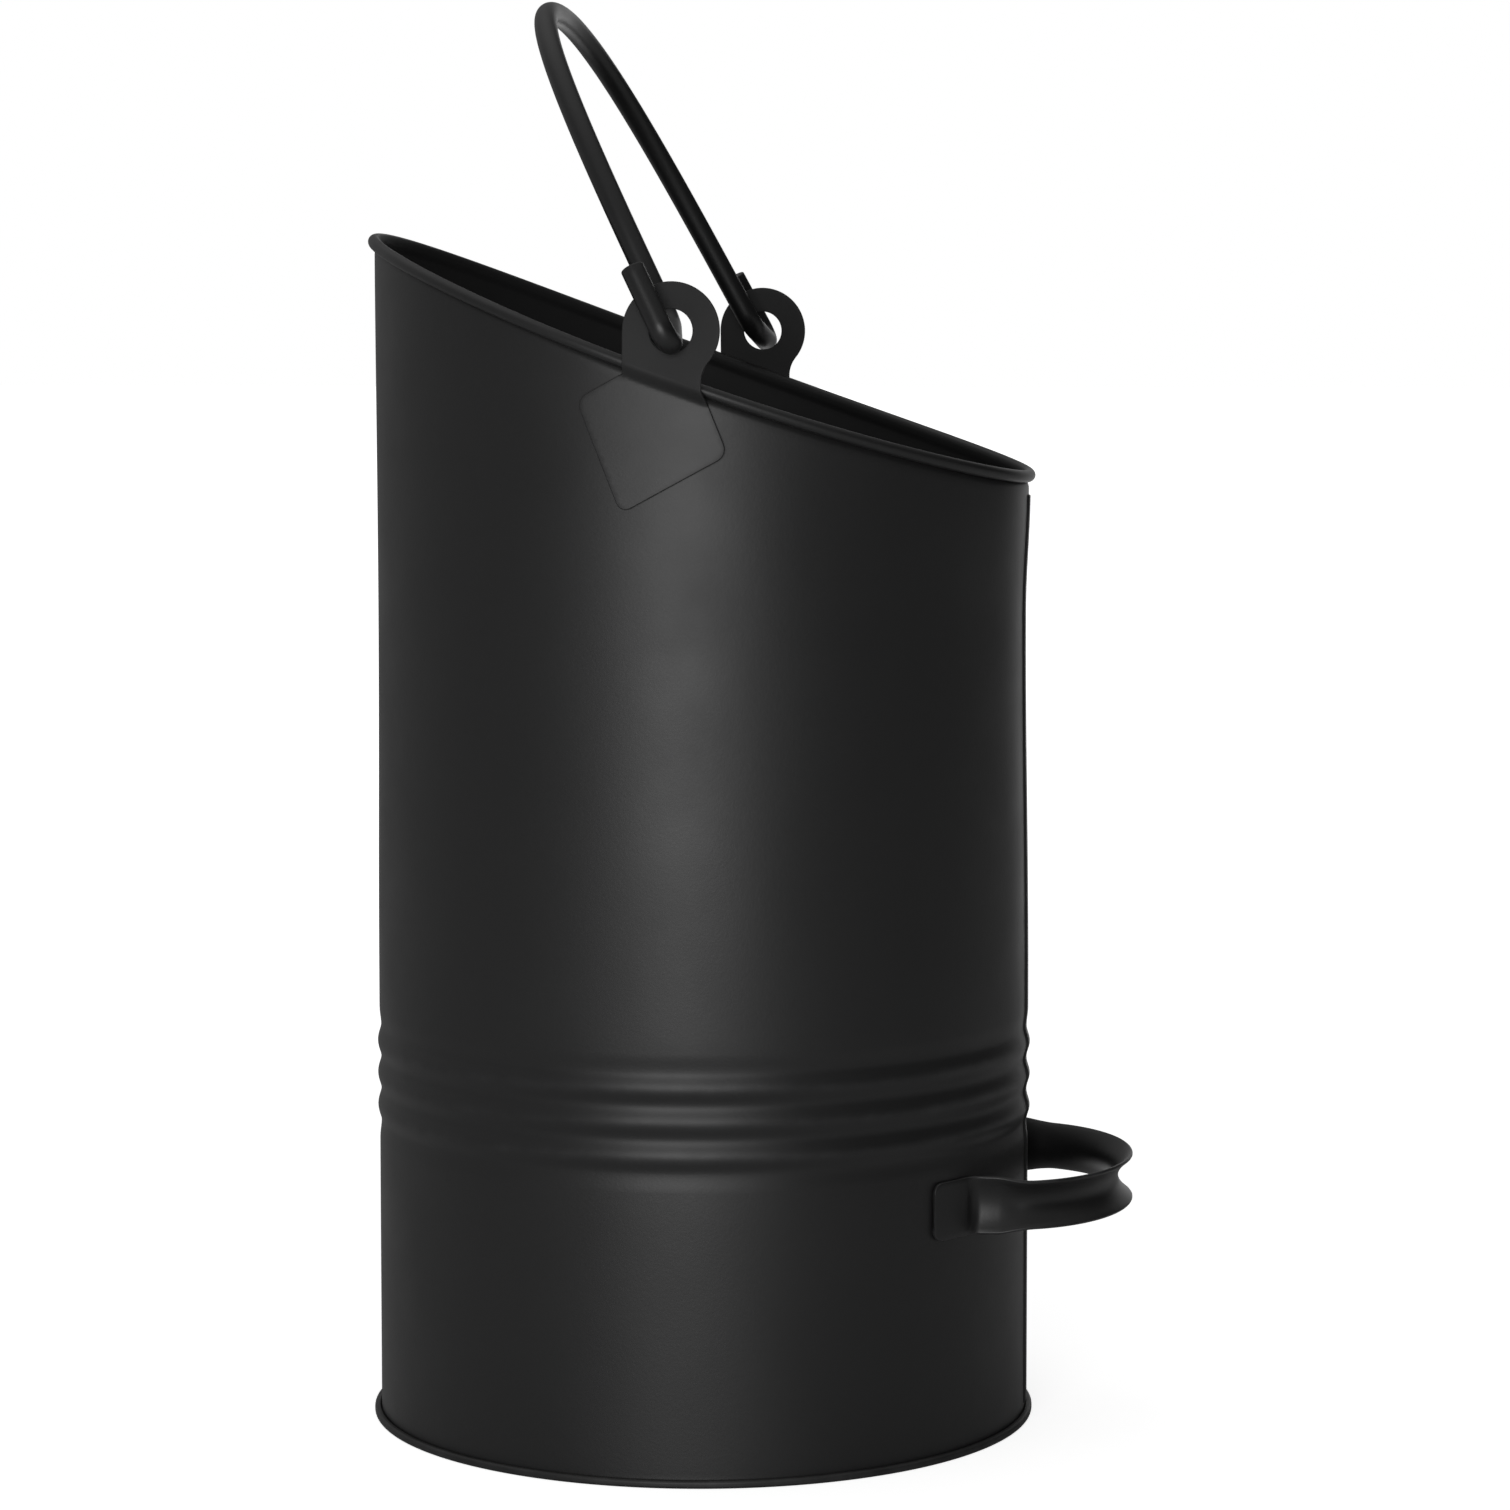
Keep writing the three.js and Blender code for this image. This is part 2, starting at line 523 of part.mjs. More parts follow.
// Outer line of the strap on one side, in X and Y, from the end of its foot to the middle of
// the loop. hollow is 0 on the flat foot and 1 on the hollowed loop.
function grabLine() {
  const footRadius = WALL_RADIUS + GAP + GRAB_SHEET;
  const points = [];
  const add = (x, y, outX, outY, hollow) => points.push({ x, y, outX, outY, hollow });

  // The bend is tangent to the foot's circle, outside it, and to the loop's straight start.
  const bendY = GRAB_HALF_SPAN + GRAB_BEND;
  const bendX = Math.sqrt((footRadius + GRAB_BEND) ** 2 - bendY ** 2);
  const leave = Math.atan2(bendY, bendX);
  const footEnd = leave + GRAB_FOOT_LENGTH / footRadius;
  for (let i = 0; i <= GRAB_FOOT_STEPS; i += 1) {
    const angle = THREE.MathUtils.lerp(footEnd, leave, i / GRAB_FOOT_STEPS);
    const x = footRadius * Math.cos(angle);
    const y = footRadius * Math.sin(angle);
    add(x, y, Math.cos(angle), Math.sin(angle), 0);
  }
  for (let i = 1; i <= GRAB_BEND_STEPS; i += 1) {
    const angle = THREE.MathUtils.lerp(leave, Math.PI / 2, i / GRAB_BEND_STEPS);
    const outX = Math.cos(angle);
    const outY = Math.sin(angle);
    const hollow = (GRAB_BEND_HOLLOW * i) / GRAB_BEND_STEPS;
    add(bendX - GRAB_BEND * outX, bendY - GRAB_BEND * outY, outX, outY, hollow);
  }
  for (let i = 0; i <= GRAB_LOOP_STEPS; i += 1) {
    const angle = ((1 - i / GRAB_LOOP_STEPS) * Math.PI) / 2;
    const x = GRAB_LOOP_X + GRAB_REACH * Math.cos(angle);
    const y = GRAB_HALF_SPAN * Math.sin(angle);
    const out = new THREE.Vector2(Math.cos(angle) / GRAB_REACH, Math.sin(angle) / GRAB_HALF_SPAN);
    out.normalize();
    add(x, y, out.x, out.y, 1);
  }
  return points;
}

function grabHandle() {
  const half = grabLine();
  const mirrored = half.slice(0, -1).reverse().map((p) => ({ ...p, y: -p.y, outY: -p.outY }));
  const line = [...half, ...mirrored];
  const strap = new THREE.BoxGeometry(2, 2, 2, line.length - 1, GRAB_ACROSS, 1);
  const position = strap.getAttribute('position');
  for (let i = 0; i < position.count; i += 1) {
    const point = line[Math.round(((position.getX(i) + 1) / 2) * (line.length - 1))];
    const v = position.getY(i);
    const reached = Math.max(0, point.x - GRAB_LOOP_X) / GRAB_REACH;
    const start = THREE.MathUtils.lerp(GRAB_FOOT_WIDTH, GRAB_START_WIDTH, point.hollow);
    const width = THREE.MathUtils.lerp(start, GRAB_WIDTH, Math.min(1, reached / GRAB_TAPER));
    const inside = position.getZ(i) < 0 ? GRAB_SHEET : 0;
    const depth = GRAB_HOLLOW * point.hollow * (1 - v * v) + inside;
    const z = GRAB_Z + (v * width) / 2;
    position.setXYZ(i, point.x - depth * point.outX, point.y - depth * point.outY, z);
  }
  return named('grab_handle', closed(strap), satinBlack());
}

// ---------------------------------------------------------------- assembly

const scuttle = new THREE.Group();
scuttle.name = 'coal_scuttle';
scuttle.add(bodyShell());
scuttle.add(rimWire());
scuttle.add(basePan());
scuttle.add(ear('bail_ear_left', -1));
scuttle.add(ear('bail_ear_right', 1));
scuttle.add(bailHandle());
scuttle.add(grabHandle());

export default scuttle;
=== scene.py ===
"""A tall round coal scuttle in satin black powder coat, on a white studio floor.

Drawing sizes are millimetres and degrees, with +Z up and +X towards the low side of the mouth,
where the grab strap is. The bail's ears stand at -Y (near) and +Y (far).
"""

import json
import math
from collections import namedtuple

import bmesh
import bpy
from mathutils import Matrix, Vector, geometry, noise


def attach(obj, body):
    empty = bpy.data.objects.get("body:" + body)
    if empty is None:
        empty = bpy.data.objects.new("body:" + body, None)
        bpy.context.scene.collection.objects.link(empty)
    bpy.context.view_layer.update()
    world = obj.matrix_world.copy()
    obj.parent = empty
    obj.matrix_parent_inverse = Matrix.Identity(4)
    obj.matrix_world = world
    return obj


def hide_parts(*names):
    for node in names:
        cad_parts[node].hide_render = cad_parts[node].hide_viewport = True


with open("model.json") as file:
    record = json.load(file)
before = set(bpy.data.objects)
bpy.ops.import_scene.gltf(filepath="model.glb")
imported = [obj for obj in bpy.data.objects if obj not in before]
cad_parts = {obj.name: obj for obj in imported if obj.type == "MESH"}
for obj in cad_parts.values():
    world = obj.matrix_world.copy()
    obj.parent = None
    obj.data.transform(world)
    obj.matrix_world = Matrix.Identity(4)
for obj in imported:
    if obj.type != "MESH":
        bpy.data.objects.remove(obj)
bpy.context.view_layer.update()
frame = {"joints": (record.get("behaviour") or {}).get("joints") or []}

MM = 0.001

# ------------------------------------------------------------------ sheet and wall sizes

GAP = 0.3  # clearance between touching pieces
SHEET = 0.8
WALL_RADIUS = 127.0
WALL_MID = WALL_RADIUS - SHEET / 2

RIM_TALL = 462.0
RIM_LOW = 370.5
RIM_SIDE = 411.1
RIM_FALL = (RIM_TALL - RIM_LOW) / 2
RIM_HOLLOW = (RIM_TALL + RIM_LOW) / 2 - RIM_SIDE
RIM_TILT = math.atan(RIM_FALL / WALL_RADIUS)

WIRE_RADIUS = 1.25
BEAD_RADIUS = WALL_RADIUS + 0.1  # distance of the bead's centre from the axis
BEAD_INNER = WIRE_RADIUS + GAP + 0.05
BEAD_MID = BEAD_INNER + SHEET / 2
BEAD_OUTER = BEAD_INNER + SHEET
BEAD_Z = RIM_SIDE - BEAD_OUTER
BEAD_START = 200  # angle at which the wall passes into the curl
BEAD_END = -98

RIB_COUNT = 3
RIB_PITCH = 12.6
RIB_BOTTOM = 116.0
RIB_CREST = 0.7
RIB_GROOVE = 0.6
RIB_LEAD = 7.0  # the wall draws in over this length above and below the ribs
RIB_WEAR = 0.35  # how exposed the ribs' crests are
RIB_TOP = RIB_BOTTOM + RIB_COUNT * RIB_PITCH

FOOT_FLANGE = 1.6
FOOT_BEND = 0.8
FOOT_Z = SHEET + GAP + SHEET / 2
HEM_TOP = 3 * SHEET + 2 * GAP
HEM_RADIUS = WALL_RADIUS + 2.4 + GAP
HEM_LIP = WALL_RADIUS + GAP + 0.1
HEM_ROUND = 1.1  # radius of the folded edge

SEAM_WIDTH = 6.0
SEAM_PROUD = 0.8
SEAM_EDGE = 0.7  # width of the rounded edge of the folded seam
SEAM_FOOT = 5.5
SEAM_BELOW_BEAD = 7.0

WAIST_LOW = 1.6  # the wall draws in by this much on the low side
WAIST_TALL = 0.6  # and by this much on the tall side
WAIST_BOTTOM = 165.0
WAIST_PEAK = 318.0
WAVER = 0.09  # unevenness of the rolled sheet
WAVER_LENGTH = 85.0
WAIST_END = 8.0  # the waist ends this far below the rim
HELD_FOOT = (20.0, 60.0)  # the sheet wavers less near the foot: height where it starts, and rise
HELD_RIM = (10.0, 40.0)  # and the same below the rim

# ------------------------------------------------------------------ ear sizes

EAR_SHEET = 1.2
EAR_PLATE_WIDTH = 59.2
EAR_PLATE_HEIGHT = 66.7
EAR_PLATE_CENTRE = Vector((-0.7, RIM_SIDE - 21.9))
EAR_CORNER = 5.0
EAR_NECK_X = 18.0
EAR_NECK_FILLET = 12.0
EYE = Vector((6.9, RIM_SIDE + 12.9))
EYE_RADIUS = 17.8
EYE_HOLE = 7.9
EAR_EDGE_ROUND = 0.35
EAR_RIM_WEAR = 0.6  # how exposed the faces are beside the rounded edge
EAR_SPRING = 0.0011  # how much flatter than the wall the plate is, so its corners stand off it
EAR_MESH = 1.3  # spacing of the ear's inner points
WITHIN_OUTLINE = 1  # kind of triangle mesh that leaves out what lies outside the outline
JOGGLE_FROM = -5.4  # the step round the bead, from the bead's centre
JOGGLE_TO = 0.6
JOGGLE_BEND = 0.25  # share of the step that each of its two bends takes
JOGGLE_ROOM = 0.8  # room between the bead and the standing sheet, past the clearance
EAR_LEAN = math.tan(math.radians(4))  # the standing sheet leans in towards the bail
EAR_PLANE = BEAD_RADIUS + BEAD_OUTER + GAP + JOGGLE_ROOM + EAR_SHEET / 2  # middle of the eye

# ------------------------------------------------------------------ bail sizes

BAIL_ROD = 4.35
BAIL_LEAN = math.radians(27.2)
BAIL_RISE = 140.94
BAIL_TOP_PULL = 78.0
BAIL_LIMB_IN = 18.0  # the limb meets its hook this far inside the ear's middle plane
BAIL_LIMB = Vector((EAR_PLANE - BAIL_LIMB_IN, 11.5))
BAIL_KNEE = Vector((BAIL_LIMB.x - 15.2, 79.0))
BAIL_EYE_SLOPE = math.radians(20)  # the rod falls outwards through the eye
BAIL_TAIL_OUT = 12.25  # the tail's line crosses the pivot line this far outside the ear
BAIL_TAIL_BEND = 5.8
BAIL_TAIL_LENGTH = 28.5
BAIL_END_ROUND = 0.6
ROD_SIDES = 40
HAND_HALF = 60.0  # half the width of a hand on the bail's top
HAND_WEAR = 0.35  # how exposed the rod is there
EYE_WEAR = 0.8  # and in the eyes

# ------------------------------------------------------------------ grab strap sizes

GRAB_SHEET = 1.4
GRAB_Z = 95.3
GRAB_FOOT_WIDTH = 21.2
GRAB_START_WIDTH = 20.0  # where the loop starts
GRAB_WIDTH = 17.4  # and further out
GRAB_TAPER = 0.3  # share of the reach over which the strap narrows
GRAB_HOLLOW = 5.8
GRAB_FOOT_LENGTH = 18.3  # round the wall, from the bend to the foot's end
GRAB_FOOT_CORNER = 4.0
GRAB_HALF_SPAN = 64.5
GRAB_LOOP_X = 121.0
GRAB_REACH = 48.0
GRAB_BEND = 6.0
GRAB_EDGE_ROUND = 0.5  # how far the strap's rounded edges stand out
GRAB_EDGE_WEAR = 0.9

# ------------------------------------------------------------------ camera

CAMERA_PLACE = (0.24131, -1.69837, 0.42481)
CAMERA_TURN = math.radians(7.407)  # to the left of straight along +Y
CAMERA_DIP = math.radians(4.368)
CAMERA_LENS = 104.82
CAMERA_SHIFT = -0.06


# ================================================================== mesh helpers


def ease(t):
    """A smooth step from 0 to 1."""
    t = min(max(t, 0.0), 1.0)
    return t * t * (3 - 2 * t)


def mix(a, b, t):
    return a + (b - a) * t


def arc(centre_r, centre_z, radius, start, end, steps):
    """Points round an arc in a profile, both ends included, with angles in degrees."""
    angles = [math.radians(mix(start, end, i / steps)) for i in range(steps + 1)]
    return [(centre_r + radius * math.cos(a), centre_z + radius * math.sin(a)) for a in angles]


def grid_faces(rows, columns, wrap_rows=False):
    """Quads over a ring-shaped grid of points that is stored row after row."""
    faces = []
    for i in range(rows if wrap_rows else rows - 1):
        below = i * columns
        above = ((i + 1) % rows) * columns
        for j in range(columns):
            k = (j + 1) % columns
            faces.append((below + j, below + k, above + k, above + j))
    return faces


def piece(name, points, faces, material, wear, body, replaces):
    """A closed, smooth piece that rides on a body and stands for a node of the frame.

    wear holds 0 to 1 for each point: how exposed it is to rubbing.
    """
    mesh = bpy.data.meshes.new(name)
    mesh.from_pydata([Vector(p) * MM for p in points], [], faces)
    shape = bmesh.new()
    shape.from_mesh(mesh)
    bmesh.ops.recalc_face_normals(shape, faces=shape.faces)
    shape.to_mesh(mesh)
    shape.free()
    mesh.polygons.foreach_set("use_smooth", [True] * len(mesh.polygons))
    mesh.attributes.new("edge_wear", "FLOAT", "POINT").data.foreach_set("value", wear)
    mesh.materials.append(material)
    made = bpy.data.objects.new(name, mesh)
    bpy.context.scene.collection.objects.link(made)
    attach(made, body)
    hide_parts(replaces)


def rim_shift(along):
    """Height of the slanted rim over its height beside the ears; along is X over the radius."""
    return -RIM_FALL * along + RIM_HOLLOW * along * along


# ================================================================== wall, rim rod and base

# A point of a profile: slant says how far it follows the slanted rim, seam how far the folded
# seam lifts it, wear how exposed it is.
Row = namedtuple("Row", "r z slant seam wear", defaults=(0.0, 0.0, 0.0))


def wall_columns():
    """Azimuths round the wall, close together over the folded seam at +X."""
    half = SEAM_WIDTH / 2 / WALL_RADIUS
    edge = SEAM_EDGE / WALL_RADIUS
    fine = [0.0, half * 0.4, half * 0.8]
    fine += [half + edge * i / 6 for i in range(7)]
    fine += [half + edge * 3, half + edge * 7]
    plain = 118  # columns over the rest of one half
    last = fine[-1]
    spread = [mix(last, math.pi, i / plain) for i in range(1, plain + 1)]
    right = fine + spread
    left = [-a for a in reversed(right[1:-1])]
    return right + left


def seam_lift(azimuth):
    turn = abs(math.remainder(azimuth, 2 * math.pi))
    return SEAM_PROUD * (1 - ease((turn * WALL_RADIUS - SEAM_WIDTH / 2) / SEAM_EDGE))


def wall_give(azimuth, z, rim_z):
    """How far the rolled wall lies off a true cylinder."""
    along = math.cos(azimuth)
    depth = (WAIST_LOW if along > 0 else WAIST_TALL) * along * along
    top = rim_z - WAIST_END
    rise = ease((z - WAIST_BOTTOM) / (WAIST_PEAK - WAIST_BOTTOM))
    fall = ease((top - z) / (top - WAIST_PEAK)) if top > WAIST_PEAK else 0.0
    place = Vector((math.cos(azimuth), math.sin(azimuth), 0)) * WALL_RADIUS
    place.z = z
    settle = ease((z - HELD_FOOT[0]) / HELD_FOOT[1])
    settle *= ease((rim_z - HELD_RIM[0] - z) / HELD_RIM[1])
    return -depth * rise * fall + WAVER * settle * noise.noise(place / WAVER_LENGTH)


def sheet_profile(line, thickness):
    """Both faces of a sheet that follows a centre line, as one closed loop of rows."""
    outer = []
    inner = []
    for i, row in enumerate(line):
        before = line[max(i - 1, 0)]
        after = line[min(i + 1, len(line) - 1)]
        dr = after.r - before.r
        dz = after.z - before.z
        reach = thickness / 2 / math.hypot(dr, dz)
        outer.append(row._replace(r=row.r + reach * dz, z=row.z - reach * dr))
        inner.append(row._replace(r=row.r - reach * dz, z=row.z + reach * dr, seam=0.0, wear=0.0))
    return outer + inner[::-1]


def wall_line():
    """Centre line of the wall's sheet, from its foot flange to the lip of the curled rim."""
    bend = FOOT_BEND + SHEET / 2
    line = [Row(WALL_MID + bend + FOOT_FLANGE / 2, FOOT_Z)]
    line += [Row(r, z) for r, z in arc(WALL_MID + bend, FOOT_Z + bend, bend, -90, -180, 6)]
    edge_rows = 4
    for i in range(edge_rows + 1):
        t = i / edge_rows
        line.append(Row(WALL_MID, mix(SEAM_FOOT - SEAM_EDGE, SEAM_FOOT, t), 0, ease(t)))
    lower_rows = 8
    for i in range(1, lower_rows + 1):
        z = mix(SEAM_FOOT, RIB_BOTTOM - RIB_LEAD, i / lower_rows)
        line.append(Row(WALL_MID, z, 0, 1))

    middle = (RIB_CREST - RIB_GROOVE) / 2
    swing = (RIB_CREST + RIB_GROOVE) / 2
    lead_rows = 5
    rib_rows = 14
    for i in range(1, lead_rows):
        t = i / lead_rows
        line.append(Row(WALL_MID - RIB_GROOVE * ease(t), RIB_BOTTOM - RIB_LEAD * (1 - t), 0, 1))
    for i in range(RIB_COUNT * rib_rows + 1):
        wave = math.cos(2 * math.pi * i / rib_rows)
        crest = max(0.0, -wave) ** 2
        radius = WALL_MID + middle - swing * wave
        z = RIB_BOTTOM + RIB_PITCH * i / rib_rows
        line.append(Row(radius, z, 0, 1, RIB_WEAR * crest))
    for i in range(1, lead_rows + 1):
        t = i / lead_rows
        line.append(Row(WALL_MID - RIB_GROOVE * (1 - ease(t)), RIB_TOP + RIB_LEAD * t, 0, 1))

    plain_rows = 34
    plain_foot = RIB_TOP + RIB_LEAD
    plain_top = BEAD_Z - SEAM_BELOW_BEAD - SEAM_EDGE
    for i in range(1, plain_rows + 1):
        t = i / plain_rows
        line.append(Row(WALL_MID, mix(plain_foot, plain_top, t), t, 1))
    for i in range(1, edge_rows + 1):
        z = plain_top + SEAM_EDGE * i / edge_rows
        line.append(Row(WALL_MID, z, 1, 1 - ease(i / edge_rows)))

    curl = arc(BEAD_RADIUS, BEAD_Z, BEAD_MID, BEAD_START, BEAD_END, 26)
    neck_z = BEAD_Z - 2 * BEAD_OUTER
    neck_rows = 6
    for i in range(neck_rows):
        t = i / neck_rows
        line.append(Row(mix(WALL_MID, curl[0][0], ease(t)), mix(neck_z, curl[0][1], t), 1))
    for r, z in curl:
        line.append(Row(r, z, 1, 0, ease((z - BEAD_Z) / BEAD_MID + 0.4)))
    return line


def turned(name, rows, material, body, replaces, give=False):
    """A piece made by turning a closed loop of rows round the axis."""
    azimuths = wall_columns()
    points = []
    wear = []
    for row in rows:
        for azimuth in azimuths:
            along = math.cos(azimuth)
            z = row.z + row.slant * rim_shift(along)
            radius = row.r + row.seam * seam_lift(azimuth)
            if give:
                radius += wall_give(azimuth, z, RIM_SIDE + rim_shift(along))
            points.append((radius * along, radius * math.sin(azimuth), z))
            wear.append(row.wear)
    faces = grid_faces(len(rows), len(azimuths), wrap_rows=True)
    piece(name, points, faces, material, wear, body, replaces)


def rolled_wall(material):
    rows = sheet_profile(wall_line(), SHEET)
    turned("rolled_wall", rows, material, "scuttle", "body_shell", give=True)


def rim_rod(material):
    rows = [Row(r, z, 1) for r, z in arc(BEAD_RADIUS, BEAD_Z, WIRE_RADIUS, 0, 337.5, 15)]
    turned("rim_rod", rows, material, "scuttle", "rim_wire")


def paned_base(material):
    """Disc whose edge is folded up and over the wall's foot flange."""
    inner = HEM_RADIUS - SHEET
    fold = HEM_ROUND
    hole = 2.0  # the disc's centre is closed by a face of its own
    ring = WALL_RADIUS * 0.6
    flat_end = WALL_RADIUS - 2
    outside = [(hole, 0), (ring, 0), (flat_end, 0)]
    outside += arc(HEM_RADIUS - fold, fold, fold, -90, 0, 8)
    outside += arc(HEM_RADIUS - fold, HEM_TOP - fold, fold, 0, 90, 8)
    lip = arc(HEM_LIP + SHEET / 2, HEM_TOP - SHEET / 2, SHEET / 2, 90, 270, 8)
    inside = [(inner - GAP, HEM_TOP - SHEET), (inner, HEM_TOP - SHEET - GAP)]
    inside += [(inner, SHEET + GAP), (inner - GAP, SHEET)]
    inside += [(flat_end, SHEET), (ring, SHEET), (hole, SHEET)]
    rows = [Row(r, z, 0, 0, 0.5 if r > WALL_RADIUS + 1 else 0) for r, z in outside]
    rows += [Row(r, z) for r, z in lip + inside]

    azimuths = wall_columns()
    points = [(row.r * math.cos(a), row.r * math.sin(a), row.z) for row in rows for a in azimuths]
    wear = [row.wear for row in rows for _ in azimuths]
    columns = len(azimuths)
    faces = grid_faces(len(rows), columns)
    faces.append(tuple(range(columns)))
    faces.append(tuple(range((len(rows) - 1) * columns, len(rows) * columns)))
    piece("paned_base", points, faces, material, wear, "scuttle", "base_pan")


# ================================================================== ears


def bent_corner(before, corner, after, steps=8):
    """A rounded corner of the diamond plate, as a quadratic curve."""
    start = corner + (before - corner).normalized() * EAR_CORNER
    end = corner + (after - corner).normalized() * EAR_CORNER
    points = []
    for i in range(steps + 1):
        t = i / steps
        points.append(start * (1 - t) ** 2 + corner * 2 * t * (1 - t) + end * t * t)
    return points


def circle_points(centre, radius, start, end, steps):
    angles = [mix(start, end, i / steps) for i in range(steps + 1)]
    return [centre + Vector((math.cos(a), math.sin(a))) * radius for a in angles]


def ear_outline():
    """Diamond plate, neck and round eye, anticlockwise, in X and Z."""
    along = Vector((math.cos(RIM_TILT), -math.sin(RIM_TILT)))
    across = Vector((math.sin(RIM_TILT), math.cos(RIM_TILT)))
    left = EAR_PLATE_CENTRE - along * EAR_PLATE_WIDTH / 2
    right = EAR_PLATE_CENTRE + along * EAR_PLATE_WIDTH / 2
    bottom = EAR_PLATE_CENTRE - across * EAR_PLATE_HEIGHT / 2
    top = EAR_PLATE_CENTRE + across * EAR_PLATE_HEIGHT / 2

    fillet_x = EAR_NECK_X + EAR_NECK_FILLET
    drop = math.sqrt((EYE_RADIUS + EAR_NECK_FILLET) ** 2 - (fillet_x - EYE.x) ** 2)
    meet = math.atan2(-drop, fillet_x - EYE.x)
    neck_right = right.lerp(top, (EAR_NECK_X - right.x) / (top.x - right.x))
    neck_left = left.lerp(top, (EYE.x - EYE_RADIUS - left.x) / (top.x - left.x))

    points = bent_corner(left, bottom, right)
    points += bent_corner(bottom, right, top)
    points.append(neck_right)
    fillet_centre = Vector((fillet_x, EYE.y - drop))
    points += circle_points(fillet_centre, EAR_NECK_FILLET, math.pi, math.pi + meet, 12)
    points += circle_points(EYE, EYE_RADIUS, meet, math.pi, 48)[1:]
    points.append(neck_left)
    points += bent_corner(top, left, bottom)
    return points


def even_loop(points, spacing):
    """The same closed line with points at most spacing apart."""
    result = []
    for i, point in enumerate(points):
        after = points[(i + 1) % len(points)]
        steps = max(1, math.ceil((after - point).length / spacing))
        if (after - point).length < 1e-6:
            continue
        result += [point.lerp(after, k / steps) for k in range(steps)]
    return result


def drawn_in(loop, distance):
    """The loop moved to its left by a small distance."""
    result = []
    for i, point in enumerate(loop):
        way = (loop[(i + 1) % len(loop)] - loop[i - 1]).normalized()
        result.append(point + Vector((-way.y, way.x)) * distance)
    return result


def inside_loop(point, loop):
    """True if the point lies inside the closed line."""
    odd = False
    for i, b in enumerate(loop):
        a = loop[i - 1]
        if (a.y > point.y) != (b.y > point.y):
            if point.x < a.x + (b.x - a.x) * (point.y - a.y) / (b.y - a.y):
                odd = not odd
    return odd


def bent_step(t):
    """A step from 0 to 1 with a straight middle and a bend at each end."""
    t = min(max(t, 0.0), 1.0)
    slope = 1 / (1 - JOGGLE_BEND)
    if t < JOGGLE_BEND:
        return slope * t * t / (2 * JOGGLE_BEND)
    if t > 1 - JOGGLE_BEND:
        return 1 - slope * (1 - t) ** 2 / (2 * JOGGLE_BEND)
    return slope * (t - JOGGLE_BEND / 2)


def ear_depth(x, z):
    """Distance of the ear's middle surface from the plane Y = 0."""
    height = z - BEAD_Z - rim_shift(x / WALL_RADIUS)
    step = bent_step((height - JOGGLE_FROM) / (JOGGLE_TO - JOGGLE_FROM))
    radius = mix(WALL_RADIUS + GAP + EAR_SHEET / 2, EAR_PLANE, step)
    lean = EAR_LEAN * max(0.0, z - EYE.y + EYE_RADIUS)
    rolled = math.sqrt(radius * radius - x * x) + EAR_SPRING * x * x
    return mix(rolled, radius, step) - lean


def ear_point(flat, face, side):
    """Where a point of the drawing lies, face millimetres off the middle of the sheet."""
    x, z = flat
    d = 0.05
    slope_x = (ear_depth(x + d, z) - ear_depth(x - d, z)) / (2 * d)
    slope_z = (ear_depth(x, z + d) - ear_depth(x, z - d)) / (2 * d)
    out = Vector((-slope_x, 1, -slope_z)).normalized()
    return x + face * out.x, side * (ear_depth(x, z) + face * out.y), z + face * out.z


